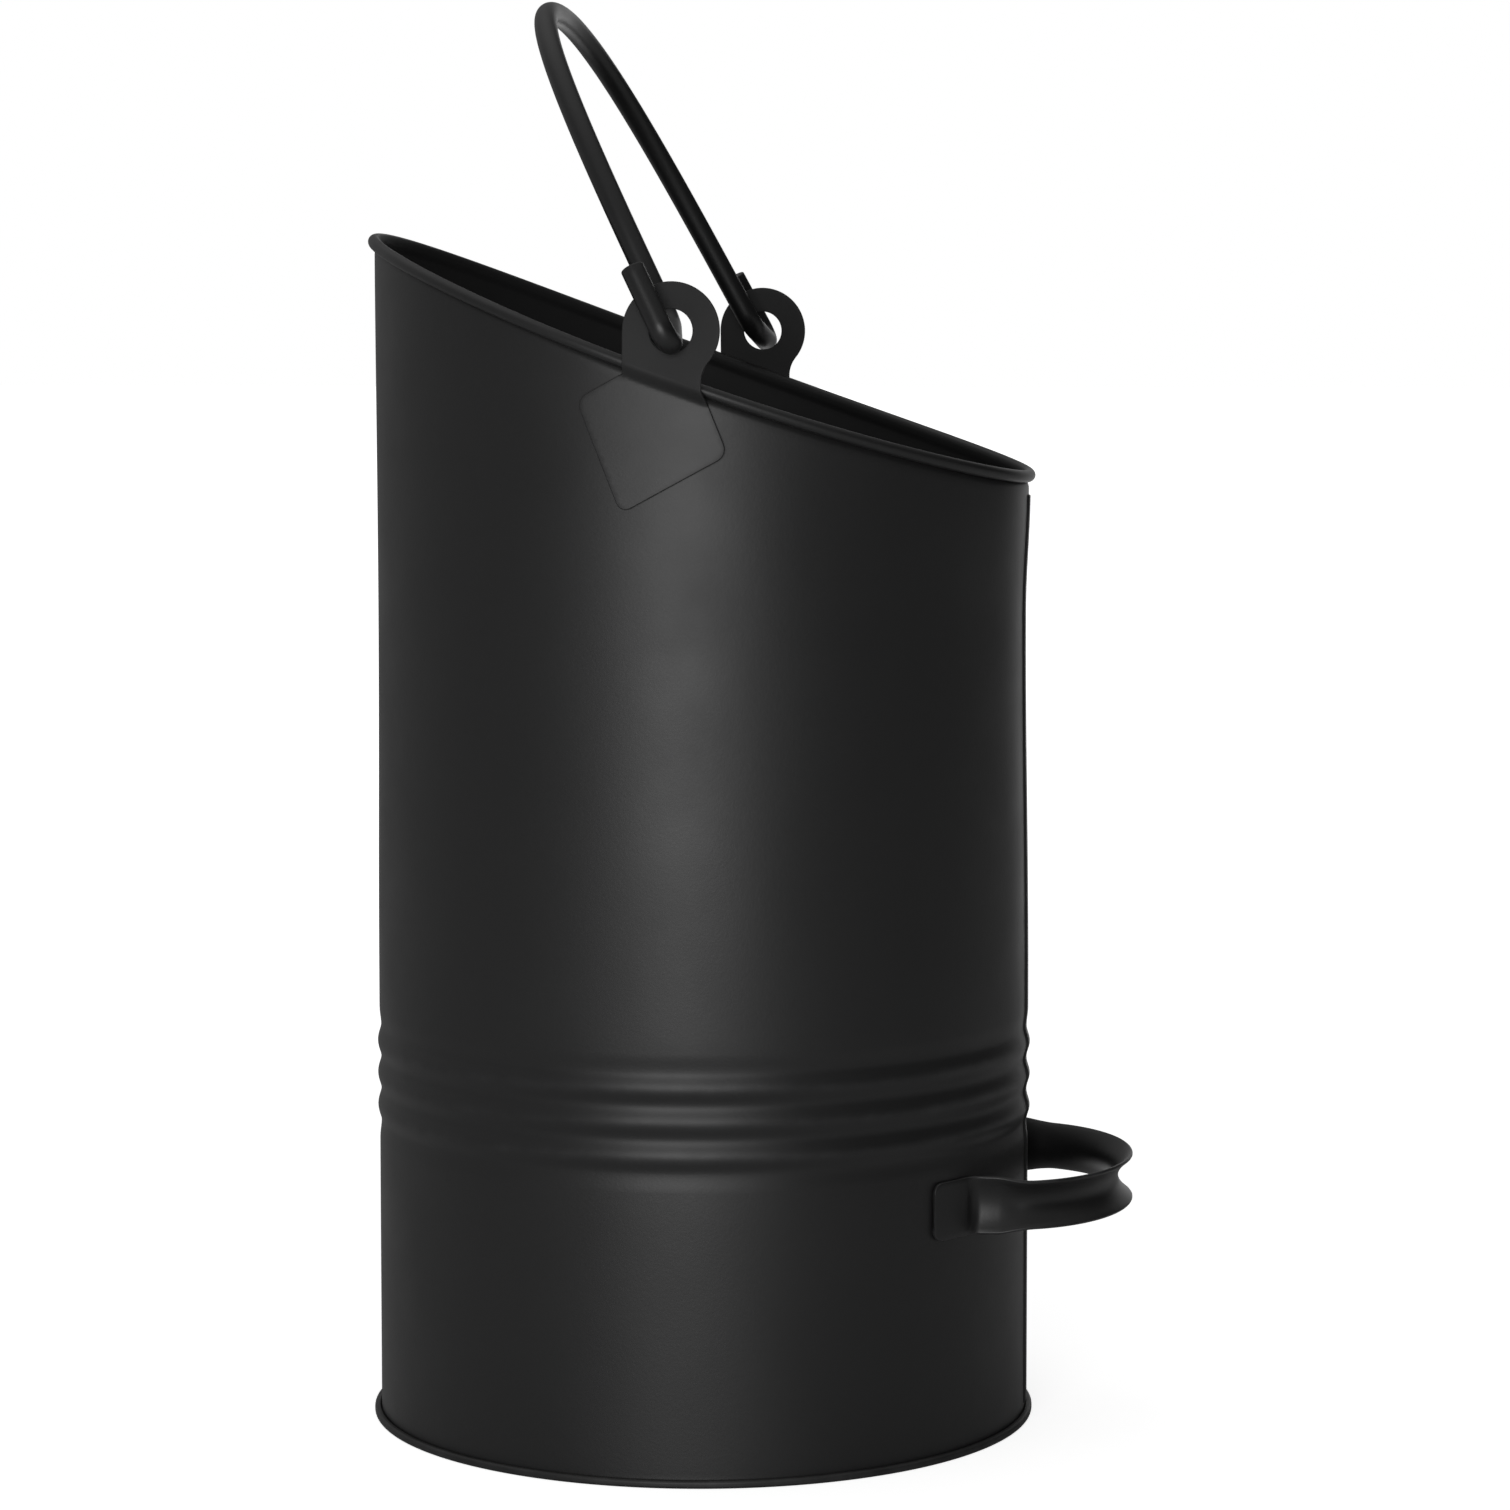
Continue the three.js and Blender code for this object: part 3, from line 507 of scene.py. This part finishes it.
def ear(name, side, material, replaces):
    outline = even_loop(ear_outline(), EAR_MESH)
    hole = even_loop(circle_points(EYE, EYE_HOLE, 0, -2 * math.pi, 48)[:-1], EAR_MESH)
    inset = [drawn_in(outline, EAR_EDGE_ROUND), drawn_in(hole, EAR_EDGE_ROUND)]

    # Inner points on a grid, clear of the loops, then a triangle mesh through all of them.
    low = Vector((min(p.x for p in outline), min(p.y for p in outline)))
    high = Vector((max(p.x for p in outline), max(p.y for p in outline)))
    far_in = drawn_in(outline, EAR_MESH)
    around_hole = drawn_in(hole, EAR_MESH)
    seeds = []
    for i in range(int((high.x - low.x) / EAR_MESH)):
        for j in range(int((high.y - low.y) / EAR_MESH)):
            seed = low + Vector((i + 0.5, j + 0.5)) * EAR_MESH
            if inside_loop(seed, far_in) and not inside_loop(seed, around_hole):
                seeds.append(seed)
    flat = inset[0] + inset[1] + seeds
    loops = []
    start = 0
    for loop in inset:
        loops += [(start + i, start + (i + 1) % len(loop)) for i in range(len(loop))]
        start += len(loop)
    mesh = geometry.delaunay_2d_cdt(flat, loops, [], WITHIN_OUTLINE, 1e-5)
    spots = list(mesh[0])
    kept = []
    for triangle in mesh[2]:
        centre = sum((spots[i] for i in triangle), Vector((0, 0))) / 3
        if not inside_loop(centre, inset[1]):
            kept.append(tuple(triangle))

    count = len(spots)
    half = EAR_SHEET / 2
    points = [ear_point(p, half, side) for p in spots] + [ear_point(p, -half, side) for p in spots]
    faces = kept + [tuple(count + i for i in reversed(t)) for t in kept]
    wear = [0.0] * len(points)

    # Rounded cut edges join the two faces round the outline and the hole.
    turns = 4
    first = 0
    for loop, plain in zip(inset, (outline, hole)):
        size = len(plain)
        rings = [list(range(first, first + size))]
        for step in range(2 * turns):
            front = step < turns
            quarter = step + 1 if front else step - turns
            turn = math.pi / 2 * quarter / turns + (0 if front else math.pi / 2)
            inward = EAR_EDGE_ROUND * (1 - math.sin(turn))
            flat_edge = (half - EAR_EDGE_ROUND) * (1 if front else -1)
            over = flat_edge + EAR_EDGE_ROUND * math.cos(turn)
            ring = drawn_in(plain, inward)
            rings.append(list(range(len(points), len(points) + size)))
            points += [ear_point(p, over, side) for p in ring]
            wear += [1.0] * size
        rings.append(list(range(count + first, count + first + size)))
        for below, above in zip(rings, rings[1:]):
            for i in range(size):
                k = (i + 1) % size
                faces.append((below[i], below[k], above[k], above[i]))
        for i in rings[0] + rings[-1]:
            wear[i] = EAR_RIM_WEAR
        first += size
    piece(name, points, faces, material, wear, "scuttle", replaces)


# ================================================================== bail


def half_bail():
    """Half of the bail's centre line as (across, up from the pivot, direction) from the top."""
    lean = math.atan2(BAIL_LIMB.x - BAIL_KNEE.x, BAIL_KNEE.y - BAIL_LIMB.y)
    ends = [Vector((0, BAIL_RISE)), Vector((BAIL_TOP_PULL, BAIL_RISE)), BAIL_KNEE, BAIL_LIMB]
    line = []
    arch_steps = 90
    for i in range(arch_steps):
        t = i / arch_steps
        u = 1 - t
        spot = ends[0] * u**3 + ends[1] * 3 * u * u * t
        spot += ends[2] * 3 * u * t * t
        line.append(spot + ends[3] * t**3)

    # The inner bend is tangent to the limb's end and to the stretch through the eye.
    fall = math.tan(BAIL_EYE_SLOPE)
    inner_turn = math.pi / 2 - lean - BAIL_EYE_SLOPE
    limb_run = (BAIL_LIMB.y - BAIL_LIMB_IN * fall) / (math.cos(lean) - math.sin(lean) * fall)
    inner_bend = limb_run / math.tan(inner_turn / 2)
    inner_centre = BAIL_LIMB + Vector((math.cos(lean), math.sin(lean))) * inner_bend
    inner_end = math.pi * 1.5 - BAIL_EYE_SLOPE
    line += circle_points(inner_centre, inner_bend, math.pi + lean, inner_end, 16)

    # The outer bend is tangent to that stretch and to the tail.
    outer_turn = math.pi / 2 + lean + BAIL_EYE_SLOPE
    corner_out = BAIL_TAIL_OUT / (1 - fall * math.tan(lean))
    outwards = Vector((math.cos(BAIL_EYE_SLOPE), -math.sin(BAIL_EYE_SLOPE)))
    outer_start = Vector((EAR_PLANE + corner_out, -corner_out * fall))
    outer_start -= outwards * BAIL_TAIL_BEND * math.tan(outer_turn / 2)
    outer_centre = outer_start + Vector((-outwards.y, outwards.x)) * BAIL_TAIL_BEND
    line += circle_points(outer_centre, BAIL_TAIL_BEND, -math.pi / 2 - BAIL_EYE_SLOPE, lean, 30)
    tail_foot = EAR_PLANE + BAIL_TAIL_OUT
    tail_end = Vector((tail_foot - BAIL_TAIL_LENGTH * math.tan(lean), BAIL_TAIL_LENGTH))
    last = line[-1]
    tail_steps = 6
    line += [last.lerp(tail_end, i / tail_steps) for i in range(1, tail_steps + 1)]
    return line


def bail_rod(material):
    half = half_bail()
    line = [Vector((-p.x, p.y)) for p in reversed(half[1:])] + half
    pivot = Vector(frame["joints"][0]["pos_m"]) / MM
    up = Vector((-math.sin(BAIL_LEAN), 0, math.cos(BAIL_LEAN)))
    across = Vector((0, 1, 0))
    square = across.cross(up)
    spots = [pivot + across * p.x + up * p.y for p in line]
    padded = [spots[0]] + spots + [spots[-1]]
    ways = [(after - before).normalized() for before, after in zip(padded, padded[2:])]

    # Each end is a flat cut with a small round on its edge.
    end_steps = 4
    rings = []
    for place, way, end in ((spots[0], ways[0], -1), (spots[-1], ways[-1], 1)):
        ring = []
        for i in range(end_steps + 1):
            turn = math.pi / 2 * i / end_steps
            back = BAIL_END_ROUND * (1 - math.cos(turn))
            radius = BAIL_ROD - BAIL_END_ROUND * (1 - math.sin(turn))
            ring.append((place - way * end * back, way, radius))
        rings.append(ring)
    body = [(s, w, BAIL_ROD) for s, w in zip(spots[1:-1], ways[1:-1])]
    rings = rings[0] + body + rings[1][::-1]

    points = []
    wear = []
    eye_wide = (EYE_RADIUS - EYE_HOLE) / 2
    for place, way, radius in rings:
        side = way.cross(square).normalized()
        in_eye = abs(abs(place.y) - EAR_PLANE) < eye_wide and (place - pivot).dot(up) < eye_wide
        in_hand = max(0.0, 1 - abs(place.y) / HAND_HALF) if (place - pivot).dot(up) > 0 else 0.0
        for k in range(ROD_SIDES):
            turn = 2 * math.pi * k / ROD_SIDES
            points.append(place + (side * math.cos(turn) + square * math.sin(turn)) * radius)
            wear.append(EYE_WEAR if in_eye else HAND_WEAR * in_hand)
    faces = grid_faces(len(rings), ROD_SIDES)
    faces.append(tuple(range(ROD_SIDES)))
    faces.append(tuple(range(len(points) - ROD_SIDES, len(points))))
    piece("bail_rod", points, faces, material, wear, "bail", "bail_handle")


# ================================================================== grab strap


def strap_stations():
    """Stations along half of the strap: place, way out, hollow and half width."""
    foot_radius = WALL_RADIUS + GAP + GRAB_SHEET
    bend_y = GRAB_HALF_SPAN + GRAB_BEND
    bend_x = math.sqrt((foot_radius + GRAB_BEND) ** 2 - bend_y**2)
    leave = math.atan2(bend_y, bend_x)
    foot_end = leave + GRAB_FOOT_LENGTH / foot_radius
    foot_half = GRAB_FOOT_WIDTH / 2
    stations = []

    # The foot's end has two rounded corners.
    corner_steps = 8
    for i in range(corner_steps):
        turn = math.pi / 2 * i / corner_steps
        angle = foot_end - GRAB_FOOT_CORNER * (1 - math.cos(turn)) / foot_radius
        half = foot_half - GRAB_FOOT_CORNER * (1 - math.sin(turn))
        out = Vector((math.cos(angle), math.sin(angle), 0))
        stations.append((out * foot_radius, out, 0.0, half))
    foot_start = foot_end - GRAB_FOOT_CORNER / foot_radius
    foot_steps = 12
    for i in range(foot_steps + 1):
        angle = mix(foot_start, leave, i / foot_steps)
        out = Vector((math.cos(angle), math.sin(angle), 0))
        stations.append((out * foot_radius, out, 0.0, foot_half))
    bend_steps = 12
    for i in range(1, bend_steps + 1):
        angle = mix(leave, math.pi / 2, i / bend_steps)
        out = Vector((math.cos(angle), math.sin(angle), 0))
        place = Vector((bend_x, bend_y, 0)) - out * GRAB_BEND
        stations.append((place, out, 0.5 * ease(i / bend_steps), foot_half))
    # The hollow reaches its full depth, and the start its width, within the loop's first steps.
    loop_steps = 44
    for i in range(loop_steps + 1):
        angle = (1 - i / loop_steps) * math.pi / 2
        reached = math.cos(angle)
        aside = math.sin(angle)
        place = Vector((GRAB_LOOP_X + GRAB_REACH * reached, GRAB_HALF_SPAN * aside, 0))
        out = Vector((reached / GRAB_REACH, aside / GRAB_HALF_SPAN, 0)).normalized()
        hollow = 0.5 + 0.5 * ease((i + 4) / 10)
        start_half = mix(foot_half, GRAB_START_WIDTH / 2, ease((i + 2) / 8))
        half = mix(start_half, GRAB_WIDTH / 2, ease(reached / GRAB_TAPER))
        stations.append((place, out, hollow, half))
    return stations


def strap_section(hollow, half):
    """The strap's section as (depth in from the outer line, height, edge wear), closed."""
    middle = []
    across = 14
    for i in range(across + 1):
        v = 2 * i / across - 1
        depth = GRAB_HOLLOW * hollow * (1 - v * v) + GRAB_SHEET / 2
        slope = -2 * v * GRAB_HOLLOW * hollow / half
        normal = Vector((1, -slope)).normalized()
        middle.append((Vector((depth, v * half)), normal))
    outer = [(p - n * GRAB_SHEET / 2, 0.0) for p, n in middle]
    inner = [(p + n * GRAB_SHEET / 2, 0.0) for p, n in reversed(middle)]
    edge_steps = 6
    edges = []
    for (p, n), sign in ((middle[-1], 1), (middle[0], -1)):
        tip = Vector((-n.y, n.x)) * sign
        arc_points = []
        for k in range(1, edge_steps):
            turn = math.pi * k / edge_steps
            side = n * sign * math.cos(turn) * GRAB_SHEET / 2
            arc_points.append((p - side + tip * math.sin(turn) * GRAB_EDGE_ROUND, GRAB_EDGE_WEAR))
        edges.append(arc_points)
    return outer + edges[0] + inner + edges[1]


def grab_strap(material):
    half = strap_stations()
    mirror = []
    for place, out, hollow, width in reversed(half[:-1]):
        mirror.append((Vector((place.x, -place.y, 0)), Vector((out.x, -out.y, 0)), hollow, width))
    points = []
    wear = []
    for place, out, hollow, width in half + mirror:
        for (depth, height), rub in strap_section(hollow, width):
            spot = place - out * depth
            points.append((spot.x, spot.y, GRAB_Z + height))
            wear.append(rub)
    columns = len(strap_section(0, 1))
    rows = len(half) + len(mirror)
    faces = grid_faces(rows, columns)
    faces.append(tuple(range(columns)))
    faces.append(tuple(range(len(points) - columns, len(points))))
    piece("grab_strap", points, faces, material, wear, "scuttle", "grab_handle")


# ================================================================== finishes


class Graph:
    """Places and joins the nodes of one shader tree."""

    def __init__(self, tree):
        self.tree = tree

    def add(self, kind, inputs=None, **settings):
        node = self.tree.nodes.new(kind)
        for key, value in settings.items():
            setattr(node, key, value)
        for key, value in (inputs or {}).items():
            self.put(node.inputs[key], value)
        return node

    def put(self, socket, value):
        if isinstance(value, bpy.types.NodeSocket):
            self.tree.links.new(value, socket)
        else:
            socket.default_value = value

    def maths(self, operation, a, b=0.0, clamp=False):
        node = self.add("ShaderNodeMath", {0: a, 1: b}, operation=operation, use_clamp=clamp)
        return node.outputs[0]

    def ramp(self, value, low, high, to_low=0.0, to_high=1.0):
        ranges = {"From Min": low, "From Max": high, "To Min": to_low, "To Max": to_high}
        return self.add("ShaderNodeMapRange", {"Value": value, **ranges}).outputs["Result"]

    def dot(self, a, b):
        node = self.add("ShaderNodeVectorMath", {0: a, 1: b}, operation="DOT_PRODUCT")
        return node.outputs["Value"]

    def noise(self, place, scale, detail=2.0, roughness=0.5):
        inputs = {"Vector": place, "Scale": scale, "Detail": detail, "Roughness": roughness}
        return self.add("ShaderNodeTexNoise", inputs).outputs["Fac"]


def group(name, inputs, outputs):
    """A new node group with named sockets, and its graph, input and output nodes."""
    tree = bpy.data.node_groups.new(name, "ShaderNodeTree")
    for key, (kind, value) in inputs.items():
        socket = tree.interface.new_socket(name=key, in_out="INPUT", socket_type=kind)
        if value is not None:
            socket.default_value = value
    for key, kind in outputs.items():
        tree.interface.new_socket(name=key, in_out="OUTPUT", socket_type=kind)
    graph = Graph(tree)
    return tree, graph, graph.add("NodeGroupInput").outputs, graph.add("NodeGroupOutput").inputs


def powder_grain_group():
    """Fine pebbled skin of a baked powder coat: its height, and a faint drift of tone."""
    tree, graph, given, result = group(
        "powder_grain",
        {
            "Place": ("NodeSocketVector", None),
            "Grain Scale": ("NodeSocketFloat", 900.0),
            "Peel Scale": ("NodeSocketFloat", 260.0),
            "Peel Share": ("NodeSocketFloat", 0.5),
        },
        {"Height": "NodeSocketFloat", "Tone": "NodeSocketFloat"},
    )
    grain = graph.noise(given["Place"], given["Grain Scale"], 3.0, 0.6)
    peel = graph.noise(given["Place"], given["Peel Scale"], 1.0)
    share = graph.maths("MULTIPLY", peel, given["Peel Share"])
    graph.put(result["Height"], graph.maths("ADD", grain, share))
    drift = graph.noise(given["Place"], 14.0, 3.0)
    speck = graph.ramp(grain, 0.3, 0.75, -0.06, 0.06)
    graph.put(result["Tone"], graph.maths("ADD", graph.ramp(drift, 0.3, 0.7, 0.93, 1.07), speck))
    return tree


def rubbed_edge_group():
    """Where handling has polished the coat: exposed edges, broken up by noise."""
    tree, graph, given, result = group(
        "rubbed_edge",
        {
            "Place": ("NodeSocketVector", None),
            "Exposed": ("NodeSocketFloat", 0.0),
            "Amount": ("NodeSocketFloat", 0.5),
        },
        {"Mask": "NodeSocketFloat"},
    )
    patches = graph.ramp(graph.noise(given["Place"], 70.0, 4.0, 0.65), 0.42, 0.72)
    strength = graph.maths("MULTIPLY", given["Exposed"], given["Amount"])
    graph.put(result["Mask"], graph.maths("MULTIPLY", patches, strength, clamp=True))
    return tree


def settled_dust_group():
    """Thin dust that lies on what faces up, thicker where the noise says."""
    tree, graph, given, result = group(
        "settled_dust",
        {"Place": ("NodeSocketVector", None), "Amount": ("NodeSocketFloat", 0.1)},
        {"Mask": "NodeSocketFloat"},
    )
    normal = graph.add("ShaderNodeNewGeometry").outputs["Normal"]
    facing = graph.add("ShaderNodeSeparateXYZ", {0: normal}).outputs["Z"]
    lying = graph.ramp(facing, 0.25, 1.0)
    patches = graph.ramp(graph.noise(given["Place"], 40.0, 5.0, 0.6), 0.35, 0.75, 0.25, 1.0)
    mask = graph.maths("MULTIPLY", lying, patches)
    graph.put(result["Mask"], graph.maths("MULTIPLY", mask, given["Amount"], clamp=True))
    return tree


POWDER_GRAIN = powder_grain_group()
RUBBED_EDGE = rubbed_edge_group()
SETTLED_DUST = settled_dust_group()

RUBBED_COLOUR = (0.055, 0.055, 0.057, 1)
DUST_COLOUR = (0.12, 0.115, 0.11, 1)


def new_material(name):
    material = bpy.data.materials.new(name)
    material.use_nodes = True
    material.node_tree.nodes.clear()
    return material, Graph(material.node_tree)


def mixed_colour(graph, mask, below, above):
    node = graph.add("ShaderNodeMix", data_type="RGBA")
    graph.put(node.inputs[0], mask)
    graph.put(node.inputs[6], below)
    graph.put(node.inputs[7], above)
    return node.outputs[2]


def powder_coat(name, colour, roughness, grain, rub, dust, peel=0.5, dry=None, dull_inside=0.0):
    """Satin black powder coat. grain is the height of its texture in metres.

    dry, where given, is the height over the rim from which the coat is thin and duller, and by
    how much. dull_inside is how much rougher the coat is where it faces the vessel's axis.
    """
    material, graph = new_material(name)
    place = graph.add("ShaderNodeTexCoord").outputs["Object"]
    skin = graph.add("ShaderNodeGroup", node_tree=POWDER_GRAIN)
    graph.put(skin.inputs["Place"], place)
    graph.put(skin.inputs["Peel Share"], peel)
    edge = graph.add("ShaderNodeAttribute", attribute_name="edge_wear").outputs["Fac"]
    rubbed = graph.add("ShaderNodeGroup", node_tree=RUBBED_EDGE)
    graph.put(rubbed.inputs["Place"], place)
    graph.put(rubbed.inputs["Exposed"], edge)
    graph.put(rubbed.inputs["Amount"], rub)
    dusty = graph.add("ShaderNodeGroup", node_tree=SETTLED_DUST)
    graph.put(dusty.inputs["Place"], place)
    graph.put(dusty.inputs["Amount"], dust)

    tone = graph.add("ShaderNodeVectorMath", operation="SCALE")
    graph.put(tone.inputs[0], colour)
    graph.put(tone.inputs["Scale"], skin.outputs["Tone"])
    polished = mixed_colour(graph, rubbed.outputs["Mask"], tone.outputs[0], RUBBED_COLOUR)
    coloured = mixed_colour(graph, dusty.outputs["Mask"], polished, DUST_COLOUR)

    drift = graph.noise(place, 22.0, 3.0)
    uneven = graph.ramp(drift, 0.3, 0.7, roughness - 0.035, roughness + 0.035)
    smoothed = graph.maths("SUBTRACT", uneven, graph.maths("MULTIPLY", rubbed.outputs["Mask"], 0.12))
    rough = graph.maths("ADD", smoothed, graph.maths("MULTIPLY", dusty.outputs["Mask"], 0.4))
    if dry:
        spot = graph.add("ShaderNodeSeparateXYZ", {0: place}).outputs
        slant = graph.maths("MULTIPLY", spot["X"], RIM_FALL / WALL_RADIUS)
        over_rim = graph.maths("SUBTRACT", graph.maths("ADD", spot["Z"], slant), RIM_SIDE * MM)
        rough = graph.maths("ADD", rough, graph.ramp(over_rim, dry[0], dry[0] + 0.002, 0.0, dry[1]))
    if dull_inside:
        normal = graph.add("ShaderNodeNewGeometry").outputs["Normal"]
        flat = graph.add("ShaderNodeVectorMath", {0: place, 1: (1, 1, 0)}, operation="MULTIPLY")
        way = graph.add("ShaderNodeVectorMath", {0: flat.outputs[0]}, operation="NORMALIZE")
        outwards = graph.dot(normal, way.outputs[0])
        inside = graph.ramp(outwards, -0.9, -0.6, dull_inside, 0.0)
        rough = graph.maths("ADD", rough, inside)
    height = skin.outputs["Height"]
    bump = graph.add("ShaderNodeBump", {"Strength": 1.0, "Distance": grain, "Height": height})

    surface = {"Base Color": coloured, "Roughness": rough, "Normal": bump.outputs[0]}
    shader = graph.add("ShaderNodeBsdfPrincipled", surface)
    graph.add("ShaderNodeOutputMaterial", {"Surface": shader.outputs[0]})
    return material


def bare_rod(name):
    """Plain drawn steel, with a fine grain bumped into its surface and a little dullness."""
    material, graph = new_material(name)
    place = graph.add("ShaderNodeTexCoord").outputs["Object"]
    dull = graph.noise(place, 120.0, 4.0)
    colour = mixed_colour(graph, dull, (0.26, 0.26, 0.27, 1), (0.36, 0.36, 0.365, 1))
    rough = graph.ramp(dull, 0.3, 0.7, 0.32, 0.5)
    drawn = graph.noise(place, 1500.0)
    bump = graph.add("ShaderNodeBump", {"Strength": 1.0, "Distance": 0.00002, "Height": drawn})
    surface = {"Base Color": colour, "Roughness": rough, "Metallic": 1.0, "Normal": bump.outputs[0]}
    shader = graph.add("ShaderNodeBsdfPrincipled", surface)
    graph.add("ShaderNodeOutputMaterial", {"Surface": shader.outputs[0]})
    return material


BLACK = (0.008, 0.008, 0.0082)

wall_coat = powder_coat("wall_coat", BLACK, 0.47, 0.000035, rub=0.5, dust=0.10, dull_inside=0.25)
base_coat = powder_coat("base_coat", BLACK, 0.55, 0.000035, rub=0.5, dust=0.14)
ear_coat = powder_coat("ear_coat", BLACK, 0.47, 0.00003, rub=0.1, dust=0.08, dry=(-0.0035, 0.24))
bail_coat = powder_coat("bail_coat", BLACK, 0.42, 0.000025, rub=0.15, dust=0.08, peel=0.35)
strap_coat = powder_coat("strap_coat", BLACK, 0.44, 0.00003, rub=0.5, dust=0.10)
rod_steel = bare_rod("rod_steel")

rolled_wall(wall_coat)
rim_rod(rod_steel)
paned_base(base_coat)
ear("near_ear", -1, ear_coat, "bail_ear_left")
ear("far_ear", 1, ear_coat, "bail_ear_right")
bail_rod(bail_coat)
grab_strap(strap_coat)


# ================================================================== studio


# Room light on everything but the camera's straight view, by direction from the object.
ROOM_BASE = 0.015
ROOM_OVERHEAD = 0.58
OVERHEAD_FROM = 0.5  # how high a direction points where the overhead light starts
LEFT_WALL = 0.29
LEFT_EDGE = -0.2
LEFT_FULL = 0.9
BACKDROP_WAY = (0.087, 0.996, 0.0)
BACKDROP_EDGE = 0.925
BACKDROP_FULL = 0.985
LEFT_WAY = (-0.94, 0.34, 0.0)

LAMP_AIM = (0, 0, 0.25)

FLOOR_SIZE = 30.0
FLOOR_WHITE = 0.7
FLOOR_LIFT = 0.78  # how much of the white the floor shows beside the object
FLOOR_NEAR = 0.35  # inside this distance the floor shows its shadow in full
FLOOR_FAR = 1.5  # beyond this one it is plain white


def towards(graph, place, way, low, high, strength):
    """A light that fades in where a direction comes near to way."""
    return graph.ramp(graph.dot(place, way), low, high, 0.0, strength)


def background_seen(graph, behind):
    """1 where the white background shows: straight to the camera, and behind the object in gloss."""
    path = graph.add("ShaderNodeLightPath").outputs
    mirrored = graph.maths("MAXIMUM", path["Is Glossy Ray"], path["Is Transmission Ray"])
    return graph.maths("MAXIMUM", path["Is Camera Ray"], graph.maths("MULTIPLY", mirrored, behind))


def studio_floor():
    """A wide pale floor. Seen straight by the camera it turns to plain white away from the object."""
    size = FLOOR_SIZE
    mesh = bpy.data.meshes.new("studio_floor")
    corners = [(-size, -size, 0), (size, -size, 0), (size, size, 0), (-size, size, 0)]
    mesh.from_pydata(corners, [], [(0, 1, 2, 3)])
    floor = bpy.data.objects.new("studio_floor", mesh)
    bpy.context.scene.collection.objects.link(floor)
    material, graph = new_material("floor_white")
    place = graph.add("ShaderNodeTexCoord").outputs["Object"]
    distance = graph.add("ShaderNodeVectorMath", {0: place}, operation="LENGTH").outputs["Value"]
    away = graph.ramp(distance, FLOOR_NEAR, FLOOR_FAR, FLOOR_LIFT, 1.0)
    way = graph.add("ShaderNodeVectorMath", {0: place}, operation="NORMALIZE").outputs[0]
    behind = towards(graph, way, BACKDROP_WAY, BACKDROP_EDGE, BACKDROP_FULL, 1.0)
    pale = (FLOOR_WHITE, FLOOR_WHITE, FLOOR_WHITE, 1)
    diffuse = graph.add("ShaderNodeBsdfDiffuse", {"Color": pale})
    glow = graph.add("ShaderNodeEmission", {"Color": (1, 1, 1, 1)})
    graph.put(glow.inputs["Strength"], graph.maths("MULTIPLY", background_seen(graph, behind), away))
    both = graph.add("ShaderNodeAddShader", {0: diffuse.outputs[0], 1: glow.outputs[0]})
    graph.add("ShaderNodeOutputMaterial", {"Surface": both.outputs[0]})
    material.cycles.emission_sampling = "NONE"
    mesh.materials.append(material)


def studio_world():
    """White seen straight; a dim room with a white backdrop and a pale left wall otherwise."""
    world = bpy.data.worlds.new("studio")
    bpy.context.scene.world = world
    world.use_nodes = True
    world.node_tree.nodes.clear()
    graph = Graph(world.node_tree)
    place = graph.add("ShaderNodeTexCoord").outputs["Generated"]
    height = graph.add("ShaderNodeSeparateXYZ", {0: place}).outputs["Z"]

    overhead = graph.ramp(height, OVERHEAD_FROM, 1.0, ROOM_BASE, ROOM_OVERHEAD)
    backdrop = towards(graph, place, BACKDROP_WAY, BACKDROP_EDGE, BACKDROP_FULL, 1.0)
    left = towards(graph, place, LEFT_WAY, LEFT_EDGE, LEFT_FULL, LEFT_WALL)
    room = graph.maths("ADD", graph.maths("ADD", overhead, backdrop), left)
    strength = graph.add("ShaderNodeMix", data_type="FLOAT")
    graph.put(strength.inputs[0], background_seen(graph, backdrop))
    graph.put(strength.inputs[2], room)
    graph.put(strength.inputs[3], 1.0)
    light = {"Color": (1, 1, 1, 1), "Strength": strength.outputs[0]}
    shader = graph.add("ShaderNodeBackground", light)
    graph.add("ShaderNodeOutputWorld", {"Surface": shader.outputs[0]})


def softbox(name, azimuth, elevation, distance, width, height, power):
    """An area lamp round the object. Azimuth 0 is at -Y, where the near ear is, and 90 at +X."""
    lamp = bpy.data.lights.new(name, "AREA")
    lamp.shape = "RECTANGLE"
    lamp.size = width
    lamp.size_y = height
    lamp.energy = power
    holder = bpy.data.objects.new(name, lamp)
    a = math.radians(azimuth)
    e = math.radians(elevation)
    back = Vector((math.sin(a) * math.cos(e), -math.cos(a) * math.cos(e), math.sin(e)))
    holder.location = Vector(LAMP_AIM) + back * distance
    holder.rotation_euler = (-back).to_track_quat("-Z", "Y").to_euler()
    holder.visible_camera = False
    bpy.context.scene.collection.objects.link(holder)


studio_floor()
studio_world()
softbox("front_box", azimuth=0.5, elevation=5, distance=2.2, width=1.1, height=1.2, power=25)


def photo_camera():
    lens = bpy.data.cameras.new("photo_camera")
    lens.lens = CAMERA_LENS
    lens.sensor_width = 36.0
    lens.shift_y = CAMERA_SHIFT
    camera = bpy.data.objects.new("photo_camera", lens)
    camera.location = CAMERA_PLACE
    camera.rotation_euler = (math.pi / 2 - CAMERA_DIP, 0, CAMERA_TURN)
    bpy.context.scene.collection.objects.link(camera)
    bpy.context.scene.camera = camera


photo_camera()
bpy.context.scene.view_settings.view_transform = "Standard"
